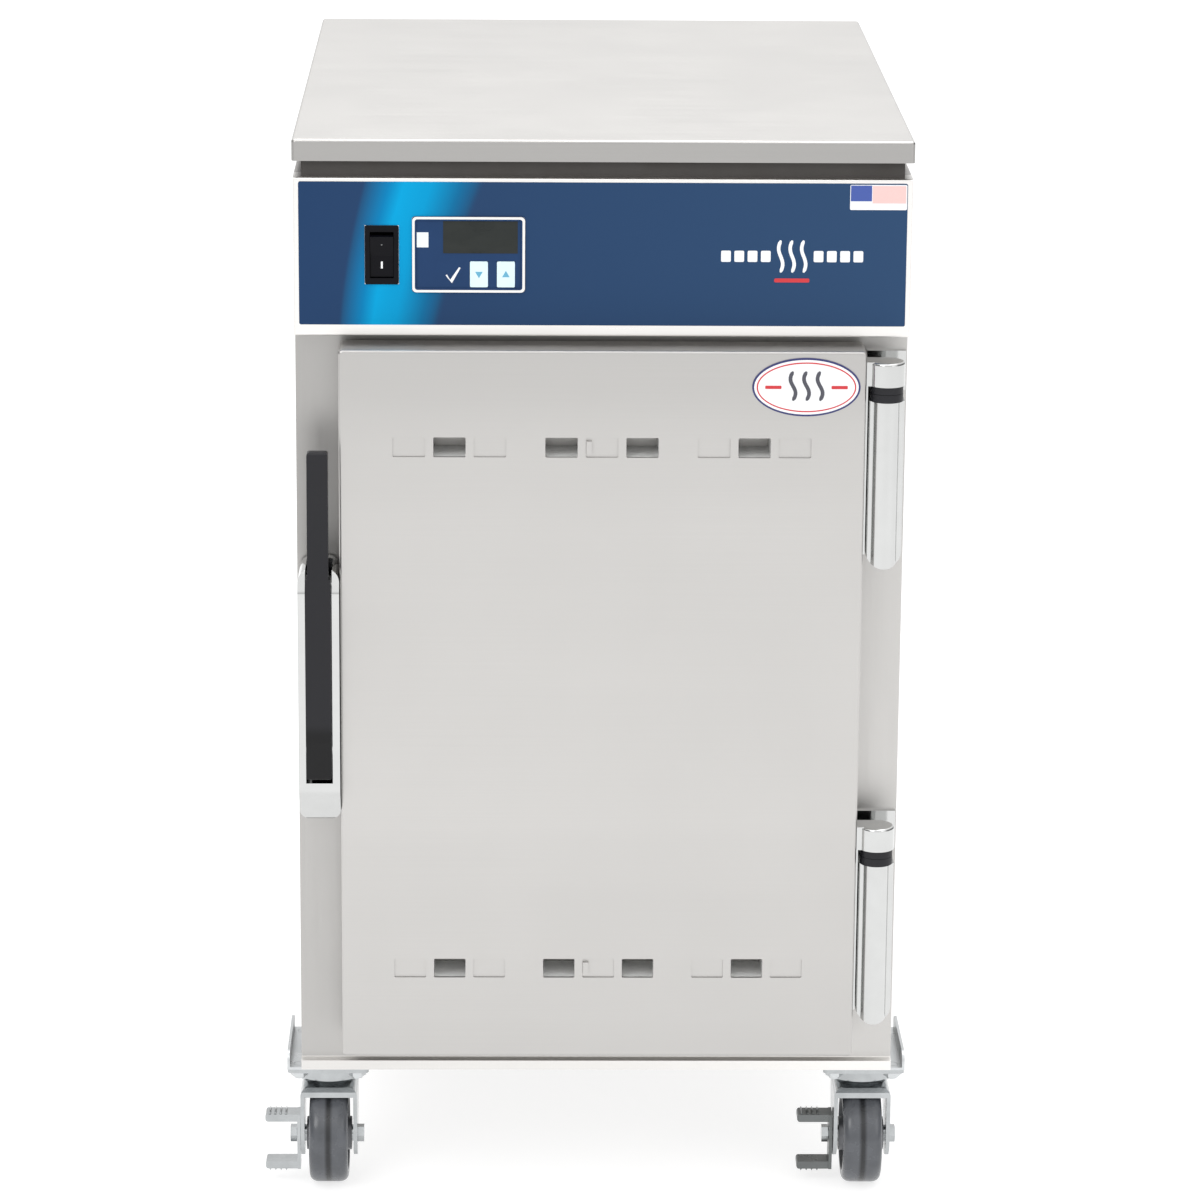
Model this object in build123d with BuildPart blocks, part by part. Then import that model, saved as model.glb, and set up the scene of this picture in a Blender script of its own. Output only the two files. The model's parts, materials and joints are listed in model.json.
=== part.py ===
from build123d import *
import os
from math import cos, radians, sin

# Hot food holding cabinet on casters: insulated body, hinged vented door, control panel.
#
# Millimetres, +Z up, the door faces -Y. The pieces are drawn about the body's centre line
# (X = 0), the top cover's front edge (Y = 0) and the floor (Z = 0). write() then moves them
# so that the origin is the bottom centre of the whole cabinet's box.

os.makedirs("parts", exist_ok=True)

# ---- cavity and the walls round it ---------------------------------------------------------
CAVITY_WIDTH = 368.0
CAVITY_HEIGHT = 508.0
CAVITY_DEPTH = 546.0
CAVITY_RADIUS = 12.0
SIDE_WALL = 44.25  # cavity to the outside of the body
BACK_WALL = 44.5
FLOOR_WALL = 48.0
CEILING_WALL = 27.0
FACE_Y = 22.0  # front face of the body, behind the cover's front edge
SHEET = 1.5
GAP = 0.3  # clearance between sheets that slide past or nest
TOUCH = 0.5  # clearance between moving bodies

# ---- wheels and forks ----------------------------------------------------------------------
WHEEL_RADIUS = 38.0
WHEEL_WIDTH = 30.0
WHEEL_LEAD = 20.0  # wheel centre ahead of the kingpin
WHEEL_CLEAR = 2.0  # wheel to the fork
HUB_PROUD = 2.5  # hub past the tyre, each side
HUB_CLEAR = 1.5
HUB_RADIUS = 13.0
FORK_SHEET = 3.0
FORK_FOOT = 17.0  # radius round the axle
HOOD_SETBACK = 20.0  # fork hood behind the wheel's front
HOOD_HEIGHT = 8.0
HOOD_SLOPE = 3.0  # chamfer along its top
RACE_RADIUS = 29.5
RACE_HEIGHT = 14.0
RACE_DEPTH = 5.0
RING_HEIGHT = 2.0  # raised ring under the top plate
BALL_RADIUS = 2.4
BALL_CIRCLE = 23.5
KINGPIN_RADIUS = 5.0
AXLE_RADIUS = 4.0
AXLE_HEAD = 5.0
SLEEVE_RADIUS = 6.5
BRAKE_REACH = 50.0
BRAKE_SHEET = 2.5
BRAKE_BELOW = 27.0  # brake plate under and over the axle
BRAKE_ABOVE = 18.0
TOE_HEIGHT = 6.0
PLATE = (63.0, 92.0, 3.0)
BOLT_GRID = (45.0, 75.0)
BOLT_RADIUS = 4.0
BOLT_HEAD = 4.0
RACE_BOTTOM = 2 * WHEEL_RADIUS + WHEEL_CLEAR + FORK_SHEET
RACE_TOP = RACE_BOTTOM + RACE_HEIGHT
CASTER_HEIGHT = RACE_TOP + RING_HEIGHT + PLATE[2]
FORK_HALF = WHEEL_WIDTH / 2 + HUB_PROUD + HUB_CLEAR + FORK_SHEET

# ---- body ----------------------------------------------------------------------------------
BRACKET_SHEET = 2.0
BRACKET_LIP = 14.0
COVER_OVERHANG = 0.75  # top cover past the body, each side
COVER_BACK = 2.0  # top cover past the back
COVER_HEIGHT = 16.0
NECK_HEIGHT = 12.5  # dark recess between the control panel and the top cover
NECK_INSET = 6.0
NECK_WALL = 4.0
PANEL_HEIGHT = 118.5
PAN_HEIGHT = 20.0  # base pan
TOP_FLANGE = 12.0
KICK_LIP = (5.0, 9.0, 1.5)  # out from the face at its foot, height, drop of its sloping top
BODY_BOTTOM = CASTER_HEIGHT + BRACKET_SHEET
CAVITY_BOTTOM = BODY_BOTTOM + FLOOR_WALL
CAVITY_TOP = CAVITY_BOTTOM + CAVITY_HEIGHT
CAVITY_FRONT = FACE_Y + SHEET
CAVITY_BACK = CAVITY_FRONT + CAVITY_DEPTH
PANEL_BOTTOM = CAVITY_TOP + CEILING_WALL
PANEL_TOP = PANEL_BOTTOM + PANEL_HEIGHT
COVER_BOTTOM = PANEL_TOP + NECK_HEIGHT
OVERALL_HEIGHT = COVER_BOTTOM + COVER_HEIGHT
BODY_WIDTH = CAVITY_WIDTH + 2 * SIDE_WALL
HALF = BODY_WIDTH / 2
BODY_BACK = CAVITY_BACK + BACK_WALL
COVER_DEPTH = BODY_BACK + COVER_BACK

# ---- caster places -------------------------------------------------------------------------
CASTER_INSET = 20.25
CASTER_X = HALF - CASTER_INSET
CASTER_FRONT_Y = FACE_Y + 46.0
CASTER_REAR_Y = BODY_BACK - 58.0

# ---- door ----------------------------------------------------------------------------------
DOOR_OVERLAP_X = 11.0  # door past the cavity opening, each side
DOOR_OVERLAP_Z = 21.5
DOOR_STAND_OFF = 6.0  # door to the body's face, filled by the gasket
DOOR_THICKNESS = 40.0
DOOR_SHEET = 1.2
DOOR_EDGE_RADIUS = 3.0
GASKET_WIDTH = 11.0
GASKET_INSET = 7.0
GASKET_RADIUS = 14.0
DOOR_HALF = CAVITY_WIDTH / 2 + DOOR_OVERLAP_X
DOOR_BOTTOM = CAVITY_BOTTOM - DOOR_OVERLAP_Z
DOOR_TOP = CAVITY_TOP + DOOR_OVERLAP_Z
DOOR_BACK = FACE_Y - DOOR_STAND_OFF
DOOR_FRONT = DOOR_BACK - DOOR_THICKNESS
BADGE_SIZE = (40.0, 22.0)
BADGE_INSET = (44.5, 26.5)  # centre in from the door's right edge and top
VENT_SLOT = (24.0, 15.0)
VENT_PITCH = 30.0  # slot to slot in a group
VENT_GROUP_PITCH = 113.0
VENT_HEIGHTS = (DOOR_BOTTOM + 71.0, DOOR_TOP - 73.0)
VENT_OPEN = ((-1, 0), (0, -1), (0, 1), (1, 0))  # (group, slot) that the slide leaves open
DUCT_MOUTH = (18.0, 6.0)  # hole in the inner pan, at the top of each duct
SLIDE_SHEET = 1.0
RAIL_HEIGHT = 3.0
TAB_WIDTH = 4.0
TAB_PROUD = 1.2

# ---- hinges --------------------------------------------------------------------------------
HINGE_RADIUS = 13.5
HINGE_CLEAR = 2.0  # leaf to the door's edge
BARREL_INSET = 3.5  # barrel in from the leaf's sides
SHOULDER = 3.0  # leaf's face ahead of the pin's centre
HINGE_X = DOOR_HALF + HINGE_CLEAR + HINGE_RADIUS
HINGE_Y = DOOR_FRONT + 8.0
HINGE_BARREL = 127.0
HINGE_BOTTOMS = (DOOR_BOTTOM + 26.5, DOOR_TOP - 165.0)
CAM_HEIGHT = 6.0
CAM_INSET = 1.2
KNUCKLE_HEIGHT = 18.0
KNUCKLE_BORE = 14.0
HINGE_PIN_RADIUS = 4.0
HINGE_PIN_SEAT = 40.0
EAR_SHEET = 3.0
LEAF_SHEET = 1.4
RUNNING = 0.05  # radial clearance of pins and axles
CAM_RADIUS = HINGE_RADIUS - CAM_INSET

# ---- latch ---------------------------------------------------------------------------------
LATCH_BOTTOM = DOOR_BOTTOM + 187.5
LATCH_HEIGHT = 197.0
LATCH_WIDTH = 31.0
LATCH_FRONT = DOOR_FRONT - 9.0
LATCH_WALL = 4.0  # behind the lever's channel
LATCH_RADIUS = 9.0
LEVER_BOTTOM = LATCH_BOTTOM + 37.0
LEVER_TOP = LEVER_BOTTOM + 252.0
LEVER_WIDTH = 19.0
LEVER_GRIP_WIDTH = 15.5
LEVER_FRONT = LATCH_FRONT - 8.0
LEVER_THICKNESS = 14.0
LEVER_BOSS = 7.0
LEVER_PIVOT_Z = LATCH_BOTTOM + LATCH_HEIGHT - 14.0
LATCH_PIN_RADIUS = 3.0
STRIKE_SHEET = 2.0
STRIKE_GAP = 1.0
MAGNET = (16.0, 5.0, 40.0)

# ---- control panel -------------------------------------------------------------------------
BEZEL_FRONT = 2.0
BEZEL_SHEET = 2.0
OVERLAY_MARGIN = (4.0, 8.5, 3.0)  # side, bottom, top
OVERLAY_SHEET = 0.6
SWITCH_CENTRE = (65.25 - HALF, PANEL_BOTTOM + 61.0)
SWITCH_SIZE = (25.0, 44.0)
SWITCH_BODY = (21.0, 38.0)
ROCKER_SIZE = (17.0, 31.0)
ROCKER_WELL = (17.6, 34.6)
ROCKER_TILT = 10.0
ROCKER_PIVOT = (BEZEL_FRONT + 5.0, SWITCH_CENTRE[1])  # y, z
STUB_RADIUS = 1.5
STUB_HALF = SWITCH_BODY[0] / 2 - 0.8
MODULE_CENTRE = (129.25 - HALF, PANEL_BOTTOM + 61.5)
MODULE_SIZE = (83.0, 56.5)
MODULE_RIM = 3.0
MODULE_WALL = 0.8
MODULE_DEPTH = 20.0
MODULE_FACE = BEZEL_FRONT - OVERLAY_SHEET
MODULE_BOARD_Y = BEZEL_FRONT + 12.0
DISPLAY = (8.7, 12.9, 55.0, 24.0)  # centre from the module's centre, width, height
LAMP = (-33.9, 10.9, 8.6, 11.2)
KEY_SIZE = (13.3, 19.4)
KEY_OFFSETS = (("key_down", 7.6), ("key_up", 27.5))
KEY_Z = -14.8
KEY_TRAVEL = 0.6

# ---- inside the body -----------------------------------------------------------------------
INSULATION_GAP = 6.0  # room for the heating cable round the liner
CABLE_RADIUS = 1.6
CABLE_TURNS = 9
RACK_Z0 = CAVITY_BOTTOM + 46.0
RACK_PITCH = 48.0
RACK_STEPS = 1 + int((CAVITY_HEIGHT - 106.0) / RACK_PITCH)
RACK_ROD = 2.5
RAIL_ROD = 2.1
RACK_STANDOFF = 5.0
RACK_LEDGE = 13.0
RACK_FRONT_Y = CAVITY_FRONT + 46.5
RACK_BACK_Y = CAVITY_BACK - 69.5
SHELF_STEPS = (2, 5)
SHELF_ROD = 2.8
SHELF_WIRE = 1.6
SHELF_PITCH = 20.0
SHELF_HALF = CAVITY_WIDTH / 2 - RACK_STANDOFF - RACK_ROD - 2.0
DRIP_PAN_HEIGHT = 18.0
DRIP_PAN_INSET = (29.0, 36.5, 29.5)  # side, front, back

# ---- electronics ---------------------------------------------------------------------------
TRAY_TOP = PANEL_BOTTOM + 1.0 + SHEET
FAN_SIZE = 80.0
FAN_DEPTH = 25.0
FAN_CENTRE = (-110.0, PANEL_BOTTOM + 60.0)
FAN_BORE = FAN_SIZE / 2 - 2.5
FAN_HUB = 14.5
FAN_SPIDER = 4.0
GLAND_CENTRE = (165.0, PANEL_BOTTOM + 45.0)
GLAND_BORE = 5.0
GLAND_RADIUS = 9.0
GLAND_OUT = 10.0
GLAND_IN = 8.0
BOARD_SHEET = 1.6
TERMINALS = 5
TERMINAL_PITCH = 12.0

LEFT_REACH = CASTER_X + BRAKE_REACH
RIGHT_REACH = CASTER_X + PLATE[0] / 2
FRONT_REACH = -LEVER_FRONT
BACK_REACH = BODY_BACK + GLAND_OUT
ORIGIN = Vector((RIGHT_REACH - LEFT_REACH) / 2, (BACK_REACH - FRONT_REACH) / 2, 0)
WALL = Plane.XZ  # sketches for pieces that lie in the front; its normal is -Y


def write(piece, name):
    """Moves a finished piece to the cabinet's origin, labels it and writes its STEP."""
    shape = piece.part.moved(Location(-ORIGIN))
    shape.label = name
    export_step(shape, f"parts/{name}.step")


def block(x, y, z, mode=Mode.ADD):
    """A box from (low, high) pairs."""
    with Locations((sum(x) / 2, sum(y) / 2, sum(z) / 2)):
        Box(x[1] - x[0], y[1] - y[0], z[1] - z[0], mode=mode)


def rod_x(radius, x, y, z, mode=Mode.ADD):
    """A round bar along X."""
    with Locations(Plane(origin=(sum(x) / 2, y, z), z_dir=(1, 0, 0))):
        Cylinder(radius, x[1] - x[0], mode=mode)


def rod_y(radius, x, y, z, mode=Mode.ADD):
    """A round bar along Y."""
    with Locations(Plane(origin=(x, sum(y) / 2, z), z_dir=(0, 1, 0))):
        Cylinder(radius, y[1] - y[0], mode=mode)


def rod_z(radius, x, y, z, mode=Mode.ADD):
    """A round bar along Z."""
    with Locations((x, y, sum(z) / 2)):
        Cylinder(radius, z[1] - z[0], mode=mode)


def side_profile(points, x, width):
    """A prism across X from (y, z) points."""
    with BuildSketch(Plane.YZ.offset(x)) as profile:
        Polygon(*points, align=None)
    extrude(profile.sketch, amount=width)


# ============================================================================ body and base
def caster_spots():
    """(side, y) of the four casters."""
    return [(s, y) for s in (-1, 1) for y in (CASTER_FRONT_Y, CASTER_REAR_Y)]


with BuildPart() as caster_brackets:
    lip_z = (CASTER_HEIGHT, CASTER_HEIGHT + BRACKET_LIP)
    for side, y in caster_spots():
        outer = side * (CASTER_X + PLATE[0] / 2)
        across = sorted((side * (CASTER_X - PLATE[0] / 2), outer))
        along = (y - PLATE[1] / 2, y + PLATE[1] / 2)
        block(across, along, (CASTER_HEIGHT, BODY_BOTTOM))
        block(sorted((outer, outer - side * BRACKET_SHEET)), along, lip_z)
    fillet(caster_brackets.edges().filter_by(Axis.X).group_by(Axis.Z)[-1], 8)
    for side, y in caster_spots():
        with Locations((side * CASTER_X, y, BODY_BOTTOM)):
            with GridLocations(*BOLT_GRID, 2, 2):
                Hole(BOLT_RADIUS + GAP, depth=BRACKET_SHEET)
write(caster_brackets, "caster_brackets")

with BuildPart() as base_pan:
    inside = HALF - SHEET - GAP
    pan_front = FACE_Y + SHEET
    pan_back = BODY_BACK - SHEET - GAP
    block((-inside, inside), (pan_front, pan_back), (BODY_BOTTOM, BODY_BOTTOM + PAN_HEIGHT))
    hollow = (BODY_BOTTOM + SHEET, BODY_BOTTOM + PAN_HEIGHT)
    hollow_y = (pan_front + SHEET, pan_back - SHEET)
    block((SHEET - inside, inside - SHEET), hollow_y, hollow, Mode.SUBTRACT)
    for side, y in caster_spots():
        with Locations((side * CASTER_X, y, BODY_BOTTOM + SHEET)):
            with Locations((-side * BOLT_GRID[0] / 2, 0)):
                with GridLocations(1, BOLT_GRID[1], 1, 2):
                    Hole(BOLT_RADIUS + GAP, depth=SHEET)
write(base_pan, "base_pan")

with BuildPart() as outer_casing:
    walls_z = (BODY_BOTTOM, PANEL_TOP)
    flange_z = (PANEL_TOP - SHEET, PANEL_TOP)
    back_y = (BODY_BACK - SHEET, BODY_BACK)
    for side in (-1, 1):
        block(sorted((side * HALF, side * (HALF - SHEET))), (CAVITY_FRONT, BODY_BACK), walls_z)
        flange_x = sorted((side * HALF, side * (HALF - SHEET - TOP_FLANGE)))
        block(flange_x, (CAVITY_FRONT, back_y[0] - GAP), flange_z)
    back_half = HALF - SHEET - GAP
    block((-back_half, back_half), back_y, walls_z)
    flange_half = back_half - TOP_FLANGE
    block((-flange_half, flange_half), (back_y[0] - TOP_FLANGE, BODY_BACK), flange_z)
    with Locations(Plane(origin=(FAN_CENTRE[0], BODY_BACK, FAN_CENTRE[1]), z_dir=(0, 1, 0))):
        for ring, count in ((9.0, 6), (18.0, 12), (27.0, 18)):
            with PolarLocations(ring, count):
                Cylinder(3.0, 4 * SHEET, mode=Mode.SUBTRACT)
        Cylinder(3.0, 4 * SHEET, mode=Mode.SUBTRACT)
    gland_hole = (BODY_BACK - 2 * SHEET, BODY_BACK + SHEET)
    rod_y(GLAND_RADIUS + GAP, GLAND_CENTRE[0], gland_hole, GLAND_CENTRE[1], Mode.SUBTRACT)
write(outer_casing, "outer_casing")

with BuildPart() as front_frame:
    frame_centre = (BODY_BOTTOM + PANEL_BOTTOM) / 2
    with BuildSketch(WALL.offset(-CAVITY_FRONT)):
        with Locations((0, frame_centre)):
            Rectangle(BODY_WIDTH, PANEL_BOTTOM - BODY_BOTTOM)
        with Locations((0, CAVITY_BOTTOM + CAVITY_HEIGHT / 2)):
            RectangleRounded(CAVITY_WIDTH, CAVITY_HEIGHT, CAVITY_RADIUS, mode=Mode.SUBTRACT)
    extrude(amount=SHEET)
    for side in (-1, 1):
        flange = sorted(side * (HALF - SHEET - GAP - w) for w in (0, SHEET))
        flange_z = (BODY_BOTTOM + PAN_HEIGHT + 2, PANEL_BOTTOM - 2)
        block(flange, (CAVITY_FRONT, CAVITY_FRONT + TOP_FLANGE), flange_z)
    lip_out, lip_high, lip_drop = KICK_LIP
    kick = [(CAVITY_FRONT, BODY_BOTTOM), (CAVITY_FRONT, BODY_BOTTOM + lip_high),
            (FACE_Y, BODY_BOTTOM + lip_high), (FACE_Y - lip_out, BODY_BOTTOM + lip_high - lip_drop),
            (FACE_Y - lip_out, BODY_BOTTOM)]
    side_profile(kick, -HALF, BODY_WIDTH)
write(front_frame, "front_frame")

with BuildPart() as inner_liner:
    with BuildSketch(WALL.offset(-CAVITY_FRONT)):
        with Locations((0, CAVITY_BOTTOM + CAVITY_HEIGHT / 2)):
            RectangleRounded(
                CAVITY_WIDTH + 2 * SHEET, CAVITY_HEIGHT + 2 * SHEET, CAVITY_RADIUS + SHEET
            )
    extrude(amount=-(CAVITY_DEPTH + SHEET))
    with BuildSketch(WALL.offset(-CAVITY_FRONT)):
        with Locations((0, CAVITY_BOTTOM + CAVITY_HEIGHT / 2)):
            RectangleRounded(CAVITY_WIDTH, CAVITY_HEIGHT, CAVITY_RADIUS)
    extrude(amount=-CAVITY_DEPTH, mode=Mode.SUBTRACT)
write(inner_liner, "inner_liner")

with BuildPart() as body_insulation:
    wrap_front = CAVITY_FRONT + TOP_FLANGE + 1
    wrap_z = (BODY_BOTTOM + PAN_HEIGHT + 2, PANEL_BOTTOM - 1)
    wrap_half = HALF - 2 * SHEET - 2 * GAP
    block((-wrap_half, wrap_half), (wrap_front, BODY_BACK - SHEET - GAP), wrap_z)
    room = SHEET + INSULATION_GAP
    void_x = (-CAVITY_WIDTH / 2 - room, CAVITY_WIDTH / 2 + room)
    void_z = (CAVITY_BOTTOM - room, CAVITY_TOP + room)
    block(void_x, (wrap_front, CAVITY_BACK + room), void_z, Mode.SUBTRACT)
write(body_insulation, "body_insulation")


def cable_points():
    """A rectangular spiral round the liner, one turn after another from front to back."""
    stand_off = SHEET + CABLE_RADIUS + GAP
    a = CAVITY_WIDTH / 2 + stand_off
    low, high = CAVITY_BOTTOM - stand_off, CAVITY_TOP + stand_off
    step = (CAVITY_DEPTH - 80) / CABLE_TURNS
    points = []
    for turn in range(CABLE_TURNS):
        y = CAVITY_FRONT + 40 + turn * step
        points += [(a, y, high), (a, y, low), (-a, y, low), (-a, y, high)]
    return points


with BuildPart() as heating_cable:
    with BuildLine() as cable_path:
        FilletPolyline(*cable_points(), radius=CAVITY_RADIUS)
    with BuildSketch(Plane(origin=cable_path.line @ 0, z_dir=cable_path.line % 0)):
        Circle(CABLE_RADIUS)
    sweep(path=cable_path.line)
write(heating_cable, "heating_cable")

# ======================================================================= top and electronics
with BuildPart() as electronics_tray:
    tray_half = HALF - SHEET - GAP
    tray_y = (CAVITY_FRONT + BEZEL_SHEET, BODY_BACK - SHEET - GAP)
    block((-tray_half, tray_half), tray_y, (TRAY_TOP - SHEET, TRAY_TOP))
    for side in (-1, 1):
        lip = sorted((side * tray_half, side * (tray_half - SHEET)))
        block(lip, tray_y, (TRAY_TOP, TRAY_TOP + 12))
write(electronics_tray, "electronics_tray")

with BuildPart() as control_bezel:
    bezel_y = (BEZEL_FRONT, CAVITY_FRONT)
    block((-HALF, HALF), bezel_y, (PANEL_BOTTOM, PANEL_TOP))
    fillet(control_bezel.edges().group_by(Axis.Y)[0], 1.5)
    well_z = (PANEL_BOTTOM + BEZEL_SHEET, PANEL_TOP - BEZEL_SHEET)
    well_x = (BEZEL_SHEET - HALF, HALF - BEZEL_SHEET)
    block(well_x, (BEZEL_FRONT + BEZEL_SHEET, CAVITY_FRONT), well_z, Mode.SUBTRACT)
    with BuildSketch(WALL.offset(-BEZEL_FRONT)):
        with Locations(SWITCH_CENTRE):
            Rectangle(SWITCH_BODY[0] + GAP, SWITCH_BODY[1] + GAP)
        with Locations(MODULE_CENTRE):
            Rectangle(MODULE_SIZE[0] - MODULE_RIM + GAP, MODULE_SIZE[1] - MODULE_RIM + GAP)
    extrude(amount=-BEZEL_SHEET, mode=Mode.SUBTRACT)
write(control_bezel, "control_bezel")

with BuildPart() as panel_overlay:
    side_margin, bottom_margin, top_margin = OVERLAY_MARGIN
    overlay_low, overlay_high = PANEL_BOTTOM + bottom_margin, PANEL_TOP - top_margin
    with BuildSketch(WALL.offset(-BEZEL_FRONT)):
        with Locations((0, (overlay_low + overlay_high) / 2)):
            RectangleRounded(BODY_WIDTH - 2 * side_margin, overlay_high - overlay_low, 1.5)
        with Locations(SWITCH_CENTRE):
            Rectangle(SWITCH_SIZE[0] + GAP, SWITCH_SIZE[1] + GAP, mode=Mode.SUBTRACT)
        with Locations(MODULE_CENTRE):
            size = (MODULE_SIZE[0] + GAP, MODULE_SIZE[1] + GAP)
            RectangleRounded(*size, 2, mode=Mode.SUBTRACT)
    extrude(amount=OVERLAY_SHEET)
write(panel_overlay, "panel_overlay")

COVER_HALF = HALF + COVER_OVERHANG

with BuildPart() as top_cover:
    block((-COVER_HALF, COVER_HALF), (0, COVER_DEPTH), (COVER_BOTTOM, OVERALL_HEIGHT))
    fillet(top_cover.edges().filter_by(Axis.Z), 3)
    fillet(top_cover.faces().sort_by(Axis.Z)[-1].edges(), 2.2)
    under_x = (SHEET - COVER_HALF, COVER_HALF - SHEET)
    under_z = (COVER_BOTTOM, OVERALL_HEIGHT - SHEET)
    block(under_x, (SHEET, COVER_DEPTH - SHEET), under_z, Mode.SUBTRACT)
write(top_cover, "top_cover")

with BuildPart() as lid_gasket:
    neck_x = HALF - NECK_INSET
    neck_y = (BEZEL_FRONT + NECK_INSET, BODY_BACK - NECK_INSET)
    neck_z = (PANEL_TOP, OVERALL_HEIGHT - SHEET)
    block((-neck_x, neck_x), neck_y, neck_z)
    hollow_y = (neck_y[0] + NECK_WALL, neck_y[1] - NECK_WALL)
    block((NECK_WALL - neck_x, neck_x - NECK_WALL), hollow_y, neck_z, Mode.SUBTRACT)
write(lid_gasket, "lid_gasket")

with BuildPart() as mains_parts:
    block((60, 118), (110, 158), (TRAY_TOP, TRAY_TOP + 46))
    block((68, 110), (100, 168), (TRAY_TOP + 9, TRAY_TOP + 37))
    block((52, 126), (124, 144), (TRAY_TOP, TRAY_TOP + 2.5))
    chamfer(mains_parts.edges().filter_by(Axis.Y).group_by(Axis.Z)[-1], 2)
    strip_y = (BODY_BACK - 54, BODY_BACK - 30)
    for i in range(TERMINALS):
        x = 130 + i * TERMINAL_PITCH
        cell = (x, x + TERMINAL_PITCH)
        block(cell, strip_y, (TRAY_TOP, TRAY_TOP + 16))
        well = (cell[0] + 1.5, cell[1] - 1.5)
        block(well, strip_y, (TRAY_TOP + 9, TRAY_TOP + 16), Mode.SUBTRACT)
        rod_z(3.2, sum(cell) / 2, sum(strip_y) / 2, (TRAY_TOP + 9, TRAY_TOP + 13))
write(mains_parts, "mains_parts")

FAN_BACK = BODY_BACK - SHEET - GAP
FAN_Y = (FAN_BACK - FAN_DEPTH, FAN_BACK)

with BuildPart() as fan_frame:
    fan_x, fan_z = FAN_CENTRE
    low_high = (-FAN_SIZE / 2, FAN_SIZE / 2)
    block([fan_x + v for v in low_high], FAN_Y, [fan_z + v for v in low_high])
    fillet(fan_frame.edges().filter_by(Axis.Y), 4)
    rod_y(FAN_BORE, fan_x, FAN_Y, fan_z, Mode.SUBTRACT)
    rod_y(FAN_HUB + 0.5, fan_x, (FAN_Y[1] - FAN_SPIDER, FAN_Y[1]), fan_z)
    strut = (FAN_HUB - 1.5, FAN_BORE + 1.5)
    for angle in (0, 90, 180, 270):
        with BuildSketch(Plane(origin=(fan_x, FAN_Y[1], fan_z), z_dir=(0, 1, 0))):
            with Locations(Rotation(0, 0, angle) * Pos(sum(strut) / 2, 0, 0)):
                Rectangle(strut[1] - strut[0], 3)
        extrude(amount=-3)
    rod_y(2.0, fan_x, (FAN_Y[0] + 4, FAN_Y[1] - FAN_SPIDER), fan_z)
    with Locations(Plane(origin=(fan_x, FAN_BACK - FAN_DEPTH / 2, fan_z), z_dir=(0, 1, 0))):
        with GridLocations(FAN_SIZE - 8.5, FAN_SIZE - 8.5, 2, 2):
            Cylinder(1.8, FAN_DEPTH + 1, mode=Mode.SUBTRACT)
write(fan_frame, "fan_frame")

with BuildPart() as fan_rotor:
    rotor_y = (FAN_Y[0] + 1, FAN_Y[1] - FAN_SPIDER - TOUCH)
    rod_y(FAN_HUB, fan_x, rotor_y, fan_z)
    blade = (FAN_HUB - 1.5, FAN_BORE - 1.5)
    for i in range(7):
        turn = i * 360 / 7
        with BuildSketch(Plane(origin=(fan_x, rotor_y[0] + 1, fan_z), z_dir=(0, 1, 0))) as low:
            with Locations(Rotation(0, 0, turn) * Pos(sum(blade) / 2, 0, 0)):
                Rectangle(blade[1] - blade[0], 2.0)
        with BuildSketch(Plane(origin=(fan_x, rotor_y[1] - 1, fan_z), z_dir=(0, 1, 0))) as high:
            with Locations(Rotation(0, 0, turn + 24) * Pos(sum(blade) / 2, 0, 0)):
                Rectangle(blade[1] - blade[0], 2.0)
        loft([low.sketch.face(), high.sketch.face()])
    rod_y(2.0 + RUNNING, fan_x, rotor_y, fan_z, Mode.SUBTRACT)
write(fan_rotor, "fan_rotor")

with BuildPart() as cord_gland:
    gx, gz = GLAND_CENTRE
    rod_y(GLAND_RADIUS, gx, (BODY_BACK - GLAND_IN, BODY_BACK + 2), gz)
    with BuildSketch(Plane(origin=(gx, BODY_BACK, gz), z_dir=(0, 1, 0))):
        RegularPolygon(12, 6)
    extrude(amount=6)
    with Locations(Plane(origin=(gx, BODY_BACK + 8, gz), z_dir=(0, 1, 0))):
        Cone(10, 8.5, 4)
    with BuildSketch(Plane(origin=(gx, BODY_BACK - SHEET, gz), z_dir=(0, -1, 0))):
        RegularPolygon(12, 6)
    extrude(amount=4)
    rod_y(GLAND_BORE, gx, (BODY_BACK - GLAND_IN, BODY_BACK + GLAND_OUT), gz, Mode.SUBTRACT)
write(cord_gland, "cord_gland")

# =========================================================================== switch and keys
with BuildPart() as switch_body:
    sx, sz = SWITCH_CENTRE
    with BuildSketch(WALL.offset(-BEZEL_FRONT)):
        with Locations(SWITCH_CENTRE):
            RectangleRounded(*SWITCH_SIZE, 1.5)
    extrude(amount=BEZEL_FRONT - 0.3)
    fillet(switch_body.edges().group_by(Axis.Y)[0], 0.6)
    with BuildSketch(WALL.offset(-BEZEL_FRONT)):
        with Locations(SWITCH_CENTRE):
            Rectangle(*SWITCH_BODY)
    extrude(amount=-18)
    with BuildSketch(WALL):
        with Locations(SWITCH_CENTRE):
            Rectangle(*ROCKER_WELL)
    extrude(amount=-15, mode=Mode.SUBTRACT)
    for side in (-1, 1):
        with BuildSketch(WALL.offset(-20)):
            with Locations((sx, sz + side * 9)):
                Rectangle(6.3, 0.8)
        extrude(amount=-7)
    rod_x(STUB_RADIUS + RUNNING, (sx - STUB_HALF - GAP, sx + STUB_HALF + GAP), *ROCKER_PIVOT,
          Mode.SUBTRACT)
write(switch_body, "switch_body")


def rocker_outline():
    """A shallow V in front and a keel behind, tilted to the off position."""
    half = ROCKER_SIZE[1] / 2
    shape = [(-4.6, 0), (-7.4, half), (-2.5, half), (3.5, 5), (3.5, -5), (-2.5, -half), (-7.4, -half)]
    tilt = radians(ROCKER_TILT)
    turned = [(y * cos(tilt) - z * sin(tilt), y * sin(tilt) + z * cos(tilt)) for y, z in shape]
    return [(ROCKER_PIVOT[0] + y, ROCKER_PIVOT[1] + z) for y, z in turned]


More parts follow.
